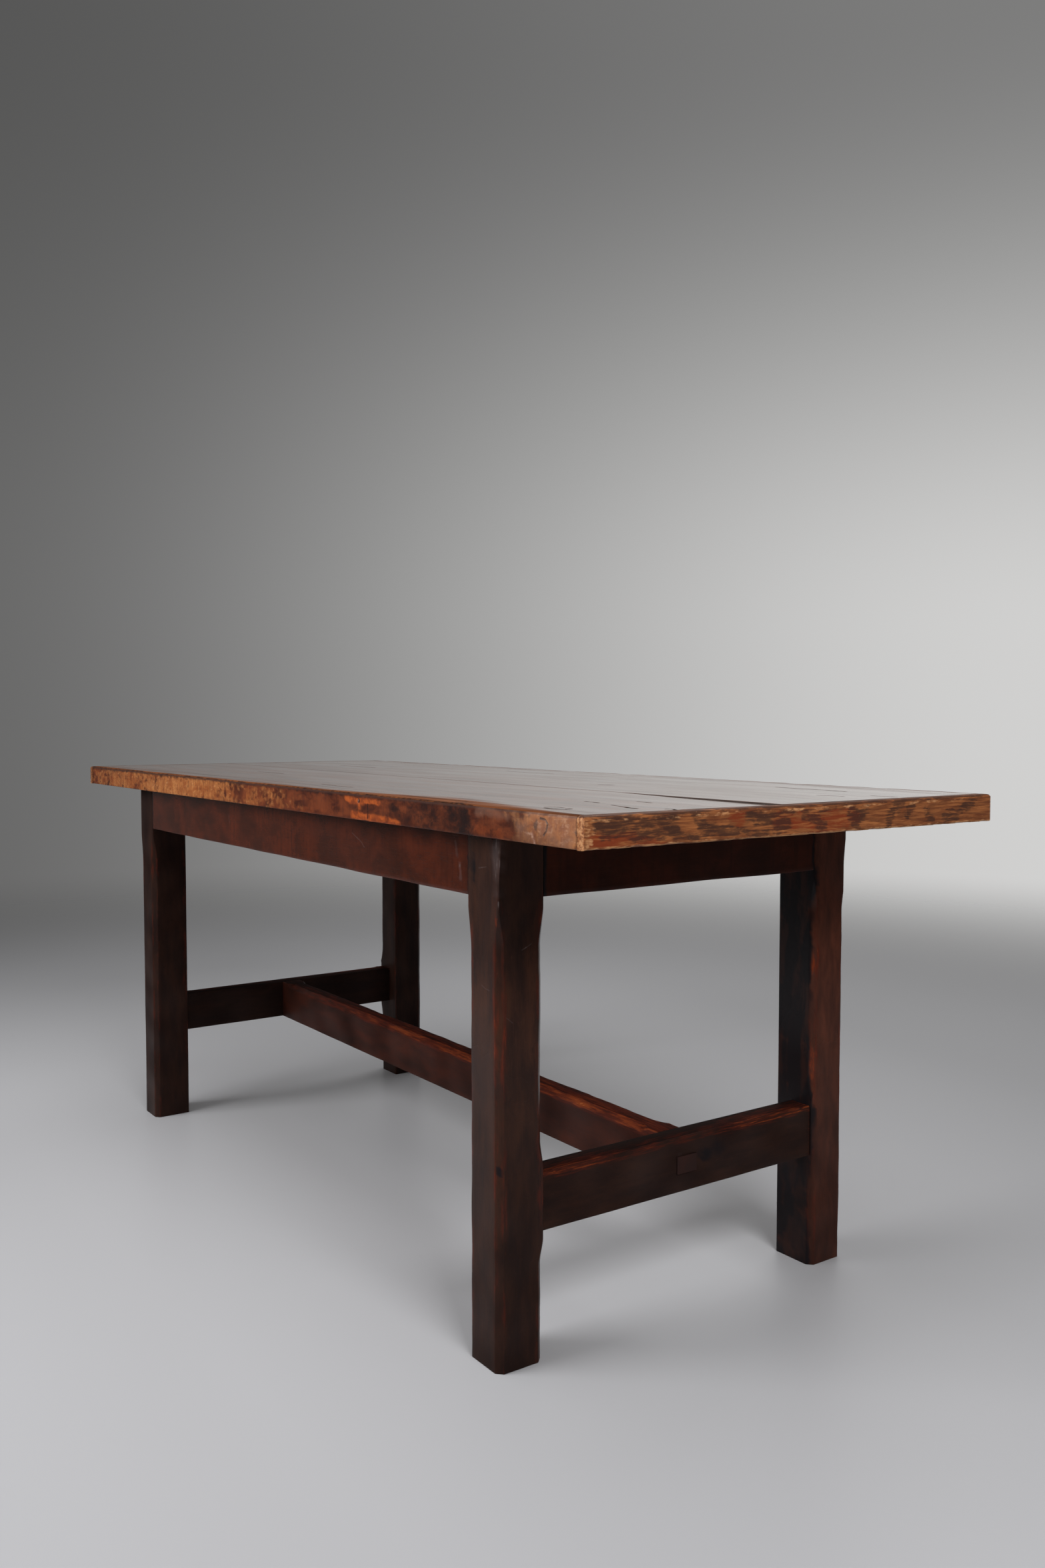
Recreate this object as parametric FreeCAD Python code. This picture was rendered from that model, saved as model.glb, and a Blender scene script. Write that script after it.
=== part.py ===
import FreeCAD, Part
import math
import os

# A joined refectory table with a two-plank top, in millimetres. X runs along the table,
# Y across it and Z up. The front is -Y and the right end is +X. The origin is on the
# floor, under the middle of the top.

# Overall sizes
TABLE_LENGTH = 1880.0
TABLE_WIDTH = 750.0
TABLE_HEIGHT = 760.0
END_OVERHANG = 234.0
SIDE_OVERHANG = 40.0

# Top: two planks side by side, a loose tongue in their joint and a strip over each end
TOP_THICKNESS = 40.0
PLANK_JOINT_Y = -43.0
PLANK_JOINT_GAP = 0.4
END_STRIP_THICKNESS = 14.0
TOP_ARRIS_RADIUS = 5.0
UNDER_ARRIS_RADIUS = 2.0
CORNER_RADIUS = 3.0
TONGUE_THICKNESS = 10.0
TONGUE_WIDTH = 30.0
TONGUE_CLEARANCE = 0.2

# Nails that hold the end strips, punched in below the surface
NAILS_PER_STRIP = 6
NAIL_SIDE_MARGIN = 45.0
NAIL_DIAMETER = 2.8
NAIL_HEAD_DIAMETER = 4.4
NAIL_HEAD_HEIGHT = 2.0
NAIL_LENGTH = 55.0
NAIL_SINK = 1.0
NAIL_BELOW_TONGUE = 4.0
NAIL_CLEARANCE = 0.1

# Legs, with stopped chamfers on all but the arris that faces the table's middle
LEG_SIZE = 74.0
LEG_CHAMFER = 9.0
LEG_CHAMFER_RUN = 46.0
LEG_CHAMFER_BELOW_APRON = 18.0
LEG_CHAMFER_FROM_STRETCHER = 3.0
FOOT_CHAMFER = 2.0

# Aprons and their tenons
APRON_HEIGHT = 88.0
APRON_THICKNESS = 26.0
APRON_SETBACK = 1.0
APRON_TENON_THICKNESS = 10.0
APRON_TENON_SHOULDER = 8.0
APRON_TENON_HAUNCH = 20.0
MORTISE_WEB = 4.0

# Stretchers: one across each end and one down the middle
STRETCHER_UNDERSIDE = 178.0
STRETCHER_HEIGHT = 80.0
END_STRETCHER_THICKNESS = 40.0
END_STRETCHER_SETBACK = 4.0
STRETCHER_TENON_THICKNESS = 14.0
STRETCHER_TENON_SHOULDER = 10.0
STRETCHER_TENON_LENGTH = 50.0
CENTRE_STRETCHER_THICKNESS = 44.0
THROUGH_TENON_WIDTH = 38.0
THROUGH_TENON_HEIGHT = 26.0
THROUGH_TENON_RISE = 27.0
THROUGH_TENON_PROUD = 1.5
END_STRETCHER_CHAMFER = 6.0
END_STRETCHER_CHAMFER_FROM_END = 4.0
CENTRE_STRETCHER_CHAMFER = 9.0
CENTRE_STRETCHER_CHAMFER_FROM_END = 14.0
STRETCHER_CHAMFER_RUN = 30.0

# Fits shared by the mortise and tenon joints
CHEEK_CLEARANCE = 0.1
MORTISE_END_GAP = 1.5

# Buttons that hold the top down, their slots in the aprons and their screws
LONG_BUTTON_COUNT = 3
LONG_BUTTON_PITCH = 430.0
END_BUTTON_COUNT = 2
END_BUTTON_PITCH = 260.0
BUTTON_LENGTH = 44.0
BUTTON_WIDTH = 34.0
BUTTON_HEIGHT = 22.0
BUTTON_TONGUE_LENGTH = 9.0
BUTTON_TONGUE_HEIGHT = 9.0
BUTTON_SLOT_END_GAP = 2.0
BUTTON_SLOT_SIDE_GAP = 4.0
BUTTON_SLOT_UNDER_GAP = 1.5
BUTTON_LIP = 10.0
SCREW_DIAMETER = 4.0
SCREW_HEAD_DIAMETER = 8.4
SCREW_HEAD_HEIGHT = 3.0
SCREW_SLOT_WIDTH = 1.2
SCREW_SLOT_DEPTH = 1.4
SCREW_DEPTH_IN_TOP = 23.0
SCREW_CLEARANCE = 0.1

# Places worked out from the sizes above
HALF_LENGTH = TABLE_LENGTH / 2
HALF_WIDTH = TABLE_WIDTH / 2
PLANK_END = HALF_LENGTH - END_STRIP_THICKNESS
TOP_UNDERSIDE = TABLE_HEIGHT - TOP_THICKNESS
TOP_MIDDLE = TABLE_HEIGHT - TOP_THICKNESS / 2
FRAME_X = HALF_LENGTH - END_OVERHANG
FRAME_Y = HALF_WIDTH - SIDE_OVERHANG
LEG_INNER_X = FRAME_X - LEG_SIZE
LEG_INNER_Y = FRAME_Y - LEG_SIZE
APRON_UNDERSIDE = TOP_UNDERSIDE - APRON_HEIGHT
APRON_CHEEK = APRON_SETBACK + (APRON_THICKNESS - APRON_TENON_THICKNESS) / 2
APRON_TENON_LENGTH = LEG_SIZE - APRON_CHEEK - APRON_TENON_THICKNESS - MORTISE_WEB - MORTISE_END_GAP
STRETCHER_TOP = STRETCHER_UNDERSIDE + STRETCHER_HEIGHT
STRETCHER_OUTER_X = FRAME_X - END_STRETCHER_SETBACK
STRETCHER_INNER_X = STRETCHER_OUTER_X - END_STRETCHER_THICKNESS
NAIL_HEIGHT = TOP_MIDDLE - TONGUE_THICKNESS / 2 - NAIL_BELOW_TONGUE - NAIL_HEAD_DIAMETER / 2
SLOT_TOP = TOP_UNDERSIDE - BUTTON_LIP
SLOT_UNDERSIDE = SLOT_TOP - BUTTON_TONGUE_HEIGHT - BUTTON_SLOT_UNDER_GAP
BUTTON_UNDERSIDE = TOP_UNDERSIDE - BUTTON_HEIGHT
BUTTON_SCREW_INSET = BUTTON_LENGTH / 2

SIDES = {"front": -1, "back": 1}
ENDS = {"left": -1, "right": 1}
UP = FreeCAD.Vector(0, 0, 1)

# What the aprons fit between: the legs' outer faces, the faces their shoulders meet and
# the buttons that each holds, on a long side and on an end
LONG_SIDE = {"outer": FRAME_Y, "shoulder": LEG_INNER_X, "buttons": (LONG_BUTTON_COUNT, LONG_BUTTON_PITCH)}
SHORT_END = {"outer": FRAME_X, "shoulder": LEG_INNER_Y, "buttons": (END_BUTTON_COUNT, END_BUTTON_PITCH)}
APRONS = {
    "front": (LONG_SIDE, -1),
    "back": (LONG_SIDE, 1),
    "left": (SHORT_END, -1),
    "right": (SHORT_END, 1),
}


def block(x, y, z):
    """A box between the two limits given on each axis, in either order."""
    (x0, x1), (y0, y1), (z0, z1) = sorted(x), sorted(y), sorted(z)
    return Part.makeBox(x1 - x0, y1 - y0, z1 - z0, FreeCAD.Vector(x0, y0, z0))


def block_on(wall, along, across, z):
    """A box from its limits along and across a long side or an end of the frame."""
    if wall is LONG_SIDE:
        return block(along, across, z)
    return block(across, along, z)


def spread(middle, size):
    """The two limits of a size centred on a place."""
    return middle - size / 2, middle + size / 2


def edges_at(solid, **places):
    """The straight edges whose middle lies at the given x, y or z."""
    found = []
    for edge in solid.Edges:
        middle = edge.CenterOfMass
        if all(abs(getattr(middle, axis) - place) < 1e-6 for axis, place in places.items()):
            found.append(edge)
    return found


def runout(flat_end, outward, along, depth, run):
    """The arc that a chamfer ends in, level with its flat at one end and out at the arris."""
    radius = (run ** 2 + depth ** 2) / (2 * depth)
    half_angle = math.asin(run / radius) / 2
    rise = radius * (1 - math.cos(half_angle))
    middle = flat_end + outward * rise + along * (radius * math.sin(half_angle))
    tip = flat_end + outward * depth + along * run
    return Part.Arc(flat_end, middle, tip).toShape(), tip


def stop_chamfer(start, end, outward, size, start_run, end_run):
    """The wood that a chamfer takes off an arris from start to end, with curved run-outs.

    A run of zero takes the chamfer straight out past that end.
    """
    along = (end - start).normalize()
    outward = FreeCAD.Vector(outward).normalize()
    depth = size / math.sqrt(2)
    flat_start = start - outward * depth + along * start_run
    flat_end = end - outward * depth - along * end_run
    edges = [Part.LineSegment(flat_start, flat_end).toShape()]
    start_tip, end_tip = flat_start, flat_end
    if start_run:
        arc, start_tip = runout(flat_start, outward, along * -1, depth, start_run)
        edges.append(arc)
    if end_run:
        arc, end_tip = runout(flat_end, outward, along, depth, end_run)
        edges.append(arc)
    far_start = start + outward * size
    far_end = end + outward * size
    for one, other in ((start_tip, far_start), (far_start, far_end), (far_end, end_tip)):
        edges.append(Part.LineSegment(one, other).toShape())
    face = Part.Face(Part.Wire(Part.__sortEdges__(edges)))
    across = along.cross(outward) * size
    face.translate(across * -1)
    return face.extrude(across * 2)


def apron_tenon(wall, sign, tip, slack=0.0, gap=0.0):
    """An apron's tenon at one tip, or its mortise when given the joint's slack and end gap."""
    cheek = wall["outer"] - APRON_CHEEK
    shoulder = wall["shoulder"]
    along = (tip * shoulder, tip * (shoulder + APRON_TENON_LENGTH + gap))
    across = (sign * (cheek + slack), sign * (cheek - APRON_TENON_THICKNESS - slack))
    low = APRON_UNDERSIDE + APRON_TENON_SHOULDER
    high = TOP_UNDERSIDE - APRON_TENON_HAUNCH
    return block_on(wall, along, across, (low - slack, high + slack))


def stretcher_tenon(end, side, slack=0.0, gap=0.0):
    """An end stretcher's tenon, or its mortise when given the joint's slack and end gap."""
    near, far = spread((STRETCHER_OUTER_X + STRETCHER_INNER_X) / 2, STRETCHER_TENON_THICKNESS)
    low = STRETCHER_UNDERSIDE + STRETCHER_TENON_SHOULDER
    high = STRETCHER_TOP - STRETCHER_TENON_SHOULDER
    return block((end * (near - slack), end * (far + slack)),
                 (side * LEG_INNER_Y, side * (LEG_INNER_Y + STRETCHER_TENON_LENGTH + gap)),
                 (low - slack, high + slack))


def through_tenon(end, slack=0.0):
    """The centre stretcher's tenon through an end stretcher, or its mortise with slack."""
    low = STRETCHER_UNDERSIDE + THROUGH_TENON_RISE
    return block((end * STRETCHER_INNER_X, end * (STRETCHER_OUTER_X + THROUGH_TENON_PROUD)),
                 spread(0, THROUGH_TENON_WIDTH + 2 * slack),
                 (low - slack, low + THROUGH_TENON_HEIGHT + slack))


def leg_chamfers(end, side):
    """The chamfers of one leg, the one beside the end stretcher broken there."""
    top = APRON_UNDERSIDE - LEG_CHAMFER_BELOW_APRON
    foot = -LEG_CHAMFER
    stretcher_low = STRETCHER_UNDERSIDE - LEG_CHAMFER_FROM_STRETCHER
    stretcher_high = STRETCHER_TOP + LEG_CHAMFER_FROM_STRETCHER
    run = LEG_CHAMFER_RUN
    whole = [(foot, top, 0, run)]
    broken = [(foot, stretcher_low, 0, run), (stretcher_high, top, run, run)]
    arrises = [
        (FRAME_X, FRAME_Y, FreeCAD.Vector(end, side, 0), whole),
        (LEG_INNER_X, FRAME_Y, FreeCAD.Vector(-end, side, 0), whole),
        (FRAME_X, LEG_INNER_Y, FreeCAD.Vector(end, -side, 0), broken),
    ]
    cuts = []
    for x, y, outward, stretches in arrises:
        for low, high, low_run, high_run in stretches:
            bottom = FreeCAD.Vector(end * x, side * y, low)
            crown = FreeCAD.Vector(end * x, side * y, high)
            cuts.append(stop_chamfer(bottom, crown, outward, LEG_CHAMFER, low_run, high_run))
    return cuts


def leg(end, side):
    """One leg with its three mortises, chamfers and eased foot."""
    post = block((end * FRAME_X, end * LEG_INNER_X), (side * FRAME_Y, side * LEG_INNER_Y),
                 (0, TOP_UNDERSIDE))
    post = post.makeChamfer(FOOT_CHAMFER, edges_at(post, z=0))
    mortises = [
        apron_tenon(LONG_SIDE, side, end, CHEEK_CLEARANCE, MORTISE_END_GAP),
        apron_tenon(SHORT_END, end, side, CHEEK_CLEARANCE, MORTISE_END_GAP),
        stretcher_tenon(end, side, CHEEK_CLEARANCE, MORTISE_END_GAP),
    ]
    return post.cut(mortises + leg_chamfers(end, side))


def apron_inner_face(wall):
    """How far an apron's inner face lies from the middle of the table."""
    return wall["outer"] - APRON_SETBACK - APRON_THICKNESS


def button_places(wall):
    """Evenly pitched places along an apron, about its middle."""
    count, pitch = wall["buttons"]
    return [(place - (count - 1) / 2) * pitch for place in range(count)]


def apron(wall, sign):
    """An apron with a tenon at each end and a slot for each button."""
    inner = apron_inner_face(wall)
    along = (-wall["shoulder"], wall["shoulder"])
    across = (sign * inner, sign * (inner + APRON_THICKNESS))
    rail = block_on(wall, along, across, (APRON_UNDERSIDE, TOP_UNDERSIDE))
    rail = rail.fuse([apron_tenon(wall, sign, tip) for tip in (-1, 1)]).removeSplitter()
    slot_across = (sign * inner, sign * (inner + BUTTON_TONGUE_LENGTH + BUTTON_SLOT_END_GAP))
    slot_length = BUTTON_WIDTH + 2 * BUTTON_SLOT_SIDE_GAP
    slots = [block_on(wall, spread(place, slot_length), slot_across, (SLOT_UNDERSIDE, SLOT_TOP))
             for place in button_places(wall)]
    return rail.cut(slots)


def screw_place(wall, sign, place):
    """Where a screw goes up through the button at a place along an apron, in plan."""
    across = sign * (apron_inner_face(wall) - BUTTON_SCREW_INSET)
    return (place, across) if wall is LONG_SIDE else (across, place)


def screw_places():
    """Where every screw goes, in plan."""
    return [screw_place(wall, sign, place)
            for wall, sign in APRONS.values() for place in button_places(wall)]


def screw_hole(x, y):
    """The hole for one screw, from under its button up into the top."""
    radius = SCREW_DIAMETER / 2 + SCREW_CLEARANCE
    depth = BUTTON_HEIGHT + SCREW_DEPTH_IN_TOP + MORTISE_END_GAP
    return Part.makeCylinder(radius, depth, FreeCAD.Vector(x, y, BUTTON_UNDERSIDE))


def button(wall, sign, place):
    """A button under the top, with its tongue up against the top of an apron's slot."""
    inner = apron_inner_face(wall)
    along = spread(place, BUTTON_WIDTH)
    body_across = (sign * inner, sign * (inner - BUTTON_LENGTH))
    tongue_across = (sign * inner, sign * (inner + BUTTON_TONGUE_LENGTH))
    body = block_on(wall, along, body_across, (BUTTON_UNDERSIDE, TOP_UNDERSIDE))
    tongue = block_on(wall, along, tongue_across, (SLOT_TOP - BUTTON_TONGUE_HEIGHT, SLOT_TOP))
    return body.fuse(tongue).removeSplitter().cut(screw_hole(*screw_place(wall, sign, place)))


def screw(x, y):
    """A round-headed wood screw, head down under its button."""
    seat = FreeCAD.Vector(x, y, BUTTON_UNDERSIDE)
    shank = Part.makeCylinder(SCREW_DIAMETER / 2, BUTTON_HEIGHT + SCREW_DEPTH_IN_TOP, seat)
    head_radius = SCREW_HEAD_DIAMETER / 2
    dome_radius = (head_radius ** 2 + SCREW_HEAD_HEIGHT ** 2) / (2 * SCREW_HEAD_HEIGHT)
    dome = Part.makeSphere(dome_radius, seat + UP * (dome_radius - SCREW_HEAD_HEIGHT))
    head = dome.common(Part.makeCylinder(head_radius, SCREW_HEAD_HEIGHT, seat, UP * -1))
    slot_floor = BUTTON_UNDERSIDE - SCREW_HEAD_HEIGHT + SCREW_SLOT_DEPTH
    slot = block(spread(x, SCREW_HEAD_DIAMETER), spread(y, SCREW_SLOT_WIDTH),
                 (slot_floor, slot_floor - SCREW_HEAD_HEIGHT))
    return shank.fuse(head).cut(slot)


def end_stretcher(end):
    """An end stretcher: a tenon into each leg, a through mortise and a chamfered outer arris."""
    rail = block((end * STRETCHER_OUTER_X, end * STRETCHER_INNER_X), (-LEG_INNER_Y, LEG_INNER_Y),
                 (STRETCHER_UNDERSIDE, STRETCHER_TOP))
    rail = rail.fuse([stretcher_tenon(end, side) for side in SIDES.values()]).removeSplitter()
    reach = FreeCAD.Vector(0, LEG_INNER_Y - END_STRETCHER_CHAMFER_FROM_END, 0)
    arris = FreeCAD.Vector(end * STRETCHER_OUTER_X, 0, STRETCHER_TOP)
    chamfer = stop_chamfer(arris - reach, arris + reach, FreeCAD.Vector(end, 0, 1), END_STRETCHER_CHAMFER,
                           STRETCHER_CHAMFER_RUN, STRETCHER_CHAMFER_RUN)
    return rail.cut([chamfer, through_tenon(end, CHEEK_CLEARANCE)])


def centre_stretcher():
    """The long stretcher, chamfered on both upper arrises, with a through tenon at each end."""
    rail = block((-STRETCHER_INNER_X, STRETCHER_INNER_X), spread(0, CENTRE_STRETCHER_THICKNESS),
                 (STRETCHER_UNDERSIDE, STRETCHER_TOP))
    rail = rail.fuse([through_tenon(end) for end in ENDS.values()]).removeSplitter()
    reach = FreeCAD.Vector(STRETCHER_INNER_X - CENTRE_STRETCHER_CHAMFER_FROM_END, 0, 0)
    chamfers = []
    for side in SIDES.values():
        arris = FreeCAD.Vector(0, side * CENTRE_STRETCHER_THICKNESS / 2, STRETCHER_TOP)
        outward = FreeCAD.Vector(0, side, 1)
        chamfers.append(stop_chamfer(arris - reach, arris + reach, outward, CENTRE_STRETCHER_CHAMFER,
                                     STRETCHER_CHAMFER_RUN, STRETCHER_CHAMFER_RUN))
    return rail.cut(chamfers)


def nail_places():
    """Evenly spaced places across an end strip."""
    first = -HALF_WIDTH + NAIL_SIDE_MARGIN
    pitch = (TABLE_WIDTH - 2 * NAIL_SIDE_MARGIN) / (NAILS_PER_STRIP - 1)
    return [first + place * pitch for place in range(NAILS_PER_STRIP)]


def nail(end, y, slack=0.0, sink=NAIL_SINK):
    """A nail through an end strip into a plank, or its hole when given slack and no sink."""
    head_face = FreeCAD.Vector(end * (HALF_LENGTH - sink), y, NAIL_HEIGHT)
    inward = FreeCAD.Vector(-end, 0, 0)
    filling = NAIL_SINK - sink
    head = Part.makeCylinder(NAIL_HEAD_DIAMETER / 2 + slack, filling + NAIL_HEAD_HEIGHT, head_face, inward)
    shank = Part.makeCylinder(NAIL_DIAMETER / 2 + slack, filling + NAIL_LENGTH + slack, head_face, inward)
    return head.fuse(shank).removeSplitter()


def nail_holes():
    """The holes for every nail, open at the outer faces of the end strips."""
    return [nail(end, y, NAIL_CLEARANCE, 0.0) for end in ENDS.values() for y in nail_places()]


def tongue_space(slack=0.0):
    """The loose tongue along the plank joint, or the groove for it when given slack."""
    return block((-PLANK_END, PLANK_END), spread(PLANK_JOINT_Y, TONGUE_WIDTH + 2 * slack),
                 spread(TOP_MIDDLE, TONGUE_THICKNESS + 2 * slack))


def plank(side):
    """One plank of the top, grooved at the joint, with its outer arrises rounded."""
    joint_y = PLANK_JOINT_Y + side * PLANK_JOINT_GAP / 2
    outer_y = side * HALF_WIDTH
    board = block((-PLANK_END, PLANK_END), (joint_y, outer_y), (TOP_UNDERSIDE, TABLE_HEIGHT))
    board = board.makeFillet(TOP_ARRIS_RADIUS, edges_at(board, y=outer_y, z=TABLE_HEIGHT))
    board = board.makeFillet(UNDER_ARRIS_RADIUS, edges_at(board, y=outer_y, z=TOP_UNDERSIDE))
    holes = [screw_hole(x, y) for x, y in screw_places()]
    return board.cut([tongue_space(TONGUE_CLEARANCE)] + holes + nail_holes())


def end_strip(end):
    """The strip over one end of the planks, rounded like their long edges."""
    outer_x = end * HALF_LENGTH
    joint_x = end * PLANK_END
    strip = block((joint_x, outer_x), (-HALF_WIDTH, HALF_WIDTH), (TOP_UNDERSIDE, TABLE_HEIGHT))
    corners = [edge for side in SIDES.values() for edge in edges_at(strip, x=outer_x, y=side * HALF_WIDTH)]
    strip = strip.makeFillet(CORNER_RADIUS, corners)
    for radius, z in ((TOP_ARRIS_RADIUS, TABLE_HEIGHT), (UNDER_ARRIS_RADIUS, TOP_UNDERSIDE)):
        against_planks = edges_at(strip, x=joint_x, z=z)
        rim = [edge for edge in edges_at(strip, z=z) if not edge.isSame(against_planks[0])]
        strip = strip.makeFillet(radius, rim)
    return strip.cut(nail_holes())


parts = {
    "plank_tongue": tongue_space(),
    "centre_stretcher": centre_stretcher(),
    "button_screws": Part.makeCompound([screw(x, y) for x, y in screw_places()]),
}
for name, (wall, sign) in APRONS.items():
    parts[f"apron_{name}"] = apron(wall, sign)
    for number, place in enumerate(button_places(wall), 1):
        parts[f"button_{name}_{number}"] = button(wall, sign, place)
for side_name, side in SIDES.items():
    parts[f"top_plank_{side_name}"] = plank(side)
for end_name, end in ENDS.items():
    parts[f"end_strip_{end_name}"] = end_strip(end)
    parts[f"strip_nails_{end_name}"] = Part.makeCompound([nail(end, y) for y in nail_places()])
    parts[f"end_stretcher_{end_name}"] = end_stretcher(end)
    for side_name, side in SIDES.items():
        parts[f"leg_{side_name}_{end_name}"] = leg(end, side)

os.makedirs("parts", exist_ok=True)
for name, shape in parts.items():
    shape.exportStep(f"parts/{name}.step")
    print(name, len(shape.Solids), shape.isValid(), round(shape.Volume))
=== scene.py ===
import math

import bmesh
import bpy
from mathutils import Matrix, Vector, noise
from mathutils.geometry import intersect_point_line


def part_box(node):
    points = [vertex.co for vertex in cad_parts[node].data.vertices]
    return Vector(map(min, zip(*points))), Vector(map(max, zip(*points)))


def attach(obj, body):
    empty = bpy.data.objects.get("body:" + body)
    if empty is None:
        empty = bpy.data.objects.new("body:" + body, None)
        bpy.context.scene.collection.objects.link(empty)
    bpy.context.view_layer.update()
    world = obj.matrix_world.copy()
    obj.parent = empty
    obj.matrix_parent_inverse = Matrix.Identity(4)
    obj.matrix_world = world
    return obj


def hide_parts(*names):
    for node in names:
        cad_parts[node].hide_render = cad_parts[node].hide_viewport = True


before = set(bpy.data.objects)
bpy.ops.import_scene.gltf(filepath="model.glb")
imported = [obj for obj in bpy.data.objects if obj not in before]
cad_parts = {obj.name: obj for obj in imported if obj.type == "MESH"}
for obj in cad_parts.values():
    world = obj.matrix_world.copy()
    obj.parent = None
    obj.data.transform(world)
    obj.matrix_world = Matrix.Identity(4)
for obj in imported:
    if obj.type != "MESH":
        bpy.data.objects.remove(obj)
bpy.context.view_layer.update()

# An old joined refectory table: two thick waxed planks with a nailed strip over each end, on
# stained legs, aprons and stretchers with worn stopped chamfers. Lengths are in metres, apart
# from the tables of marks and the sizes of grain, which are in millimetres. X runs along the
# table, the front is -Y and the right end is +X.

MM = 0.001
HAIR = 1e-5

# Values that the wood's surface carries, from 0 to about 1: rubbed to paler wood, scraped nearly
# white (on the nail head and on a leg's facet also a painted highlight), blackened (round the nail
# head also a painted shadow), rubbed to warm orange, open cracks, and dirt, which on the frame is
# partly painted shade and on the top is lost wax
LAYERS = ("wear", "scuff", "soot", "ember", "crack", "grime")
# The sizes of a mark's ragged rim, and how far round a crack or a scratch the faces are divided
MARK_RAG_SIZE = 22 * MM
MARK_FINE_RAG_SIZE = 8 * MM
STROKE_RAG_SIZE = 16 * MM
STROKE_FINE_RAG_SIZE = 6 * MM
CRACK_RAG_SIZE = 6 * MM
CRACK_MARGIN = 5 * MM
CRACK_FINE_MARGIN = 2 * MM
SCRATCH_REACH = 9 * MM
SCRATCH_FINE_MARGIN = 3 * MM
# The angle from which two faces meet in a crisp line
CRISP_DEGREES = 40

# Top: the arrises as they are worn, and how closely its surface is divided
TOP_ARRIS = 5 * MM
UNDER_ARRIS = 2 * MM
JOINT_ARRIS = 1.2 * MM
STRIP_CORNER = 2 * MM
TOP_STEP = 4 * MM
EDGE_STEP = 2.5 * MM
STRIP_STEP = 2.5 * MM

# Planks: ripples in the face, knocks along the outer arris and the long edge's wander, each
# with its size along the wood, and how far the knocks and the wander reach inwards
RIPPLE = 0.25 * MM
RIPPLE_SIZE = 90 * MM
KNOCK = 0.9 * MM
KNOCK_SIZE = 45 * MM
KNOCK_REACH = 16 * MM
EDGE_WANDER = 0.9 * MM
EDGE_WANDER_SIZE = 160 * MM
EDGE_WANDER_FINE_SIZE = 50 * MM
EDGE_WANDER_REACH = 30 * MM
# Planks: how far down from the face lost wax is marked, the dark lines of the joint and of the
# ends, and how far in from the outer side a face still counts as the long edge
WAX_DEPTH = 4 * MM
JOINT_LIP = 0.4 * MM
JOINT_SHADOW = 8 * MM
END_SHADOW = 3 * MM
EDGE_BAND = 20 * MM

# Strips: how far the wear of the face, the ends and the upper and lower arrises reaches, the
# dark crown, the chips in the lower arris and the unevenness of the upper side and of the face
STRIP_FACE_REACH = 8 * MM
STRIP_END_REACH = 3 * MM
UPPER_WEAR_DROP = 1 * MM
UPPER_WEAR_REACH = 3.5 * MM
LOWER_WEAR_REACH = 5 * MM
CROWN_DROP = 4.6 * MM
CROWN_FADE = 3 * MM
LEAST_CHIP = 0.3 * MM
CHIP = 8 * MM
CHIP_SIZE = 17 * MM
CHIP_GROUP_SIZE = 110 * MM
STRIP_SAG = 0.3 * MM
STRIP_SAG_SIZE = 100 * MM
STRIP_HOLLOW = 0.5 * MM
STRIP_HOLLOW_SIZE = 60 * MM
STRIP_FLECK_SIZE = 20 * MM

# Legs and rails: stopped chamfers, the least easing of a square arris, and their divisions
CHAMFER = 9 * MM
LEG_CHAMFER_RUN = 62 * MM
LEG_CHAMFER_LOW_RUN = 40 * MM
LEG_CHAMFER_BELOW_APRON = 2 * MM
LEG_CHAMFER_FROM_STRETCHER = 3 * MM
RAIL_CHAMFER_RUN = 30 * MM
END_RAIL_CHAMFER = 6 * MM
END_RAIL_CHAMFER_FROM_END = 4 * MM
CENTRE_RAIL_CHAMFER_FROM_END = 14 * MM
SQUARE_EASE = 1.6 * MM
ARRIS_EASE = 0.9 * MM
ARRIS_LEAST_DEGREES = 20
FOOT_EASE = 3 * MM
LEG_STEP = 6 * MM
FACE_STEP = 7 * MM
RAIL_STEP = 7 * MM

# Legs and rails: how far the planed faces wander and over what sizes, the sizes over which the
# chamfers wander, and how the aprons' lower sides are worn upwards
PLANED = 0.3 * MM
LEG_PLANED_SIZE = 100 * MM
APRON_PLANED_SIZE = 80 * MM
STRETCHER_PLANED_SIZE = 70 * MM
LEG_WANDER_SIZE = 70 * MM
LEG_WANDER_FINE_SIZE = 20 * MM
RAIL_WANDER_SIZE = 60 * MM
RAIL_WANDER_FINE_SIZE = 18 * MM
APRON_LIFT = 0.8 * MM
APRON_LIFT_SIZE = 120 * MM
APRON_LIFT_REACH = 30 * MM

# Legs and rails: how wide wear fades beside a chamfer, and how worn the chamfer's flat is
LEG_WEAR_SPREAD = 3.2 * MM
END_RAIL_WEAR_SPREAD = 3 * MM
CENTRE_RAIL_WEAR_SPREAD = 2.5 * MM
LEG_FLAT_WEAR = 0.15
END_RAIL_FLAT_WEAR = 0.45
CENTRE_RAIL_FLAT_WEAR = 0.9
# Rails: how worn their rounded arrises are, in patches of what size, and the turn of the surface
# between which wear begins and is full
APRON_ARRIS_WEAR = 0.6
STRETCHER_ARRIS_WEAR = 0.35
ARRIS_PATCH_SIZE = 40 * MM
ARRIS_WEAR_FROM_DEGREES = 4
ARRIS_WEAR_FULL_DEGREES = 18
# Legs and rails: where dirt mixed with painted shade darkens them, the legs more towards the floor
# and the stretchers all over, where wear gathers, and the sizes of their patches
GRIME_AND_SHADE_HEIGHT = 560 * MM
GRIME_AND_SHADE_DEPTH = 0.62
STRETCHER_GRIME_AND_SHADE = 0.64
LEG_GRIME_SIZE = 50 * MM
STRETCHER_GRIME_SIZE = 70 * MM
LEG_WEAR_SIZE = 70 * MM
RAIL_WEAR_SIZE = 50 * MM
SHELTER_HEIGHT = 600 * MM
SHELTER_FADE = 50 * MM
APRON_JOINT_SHADOW = 6 * MM
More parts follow.
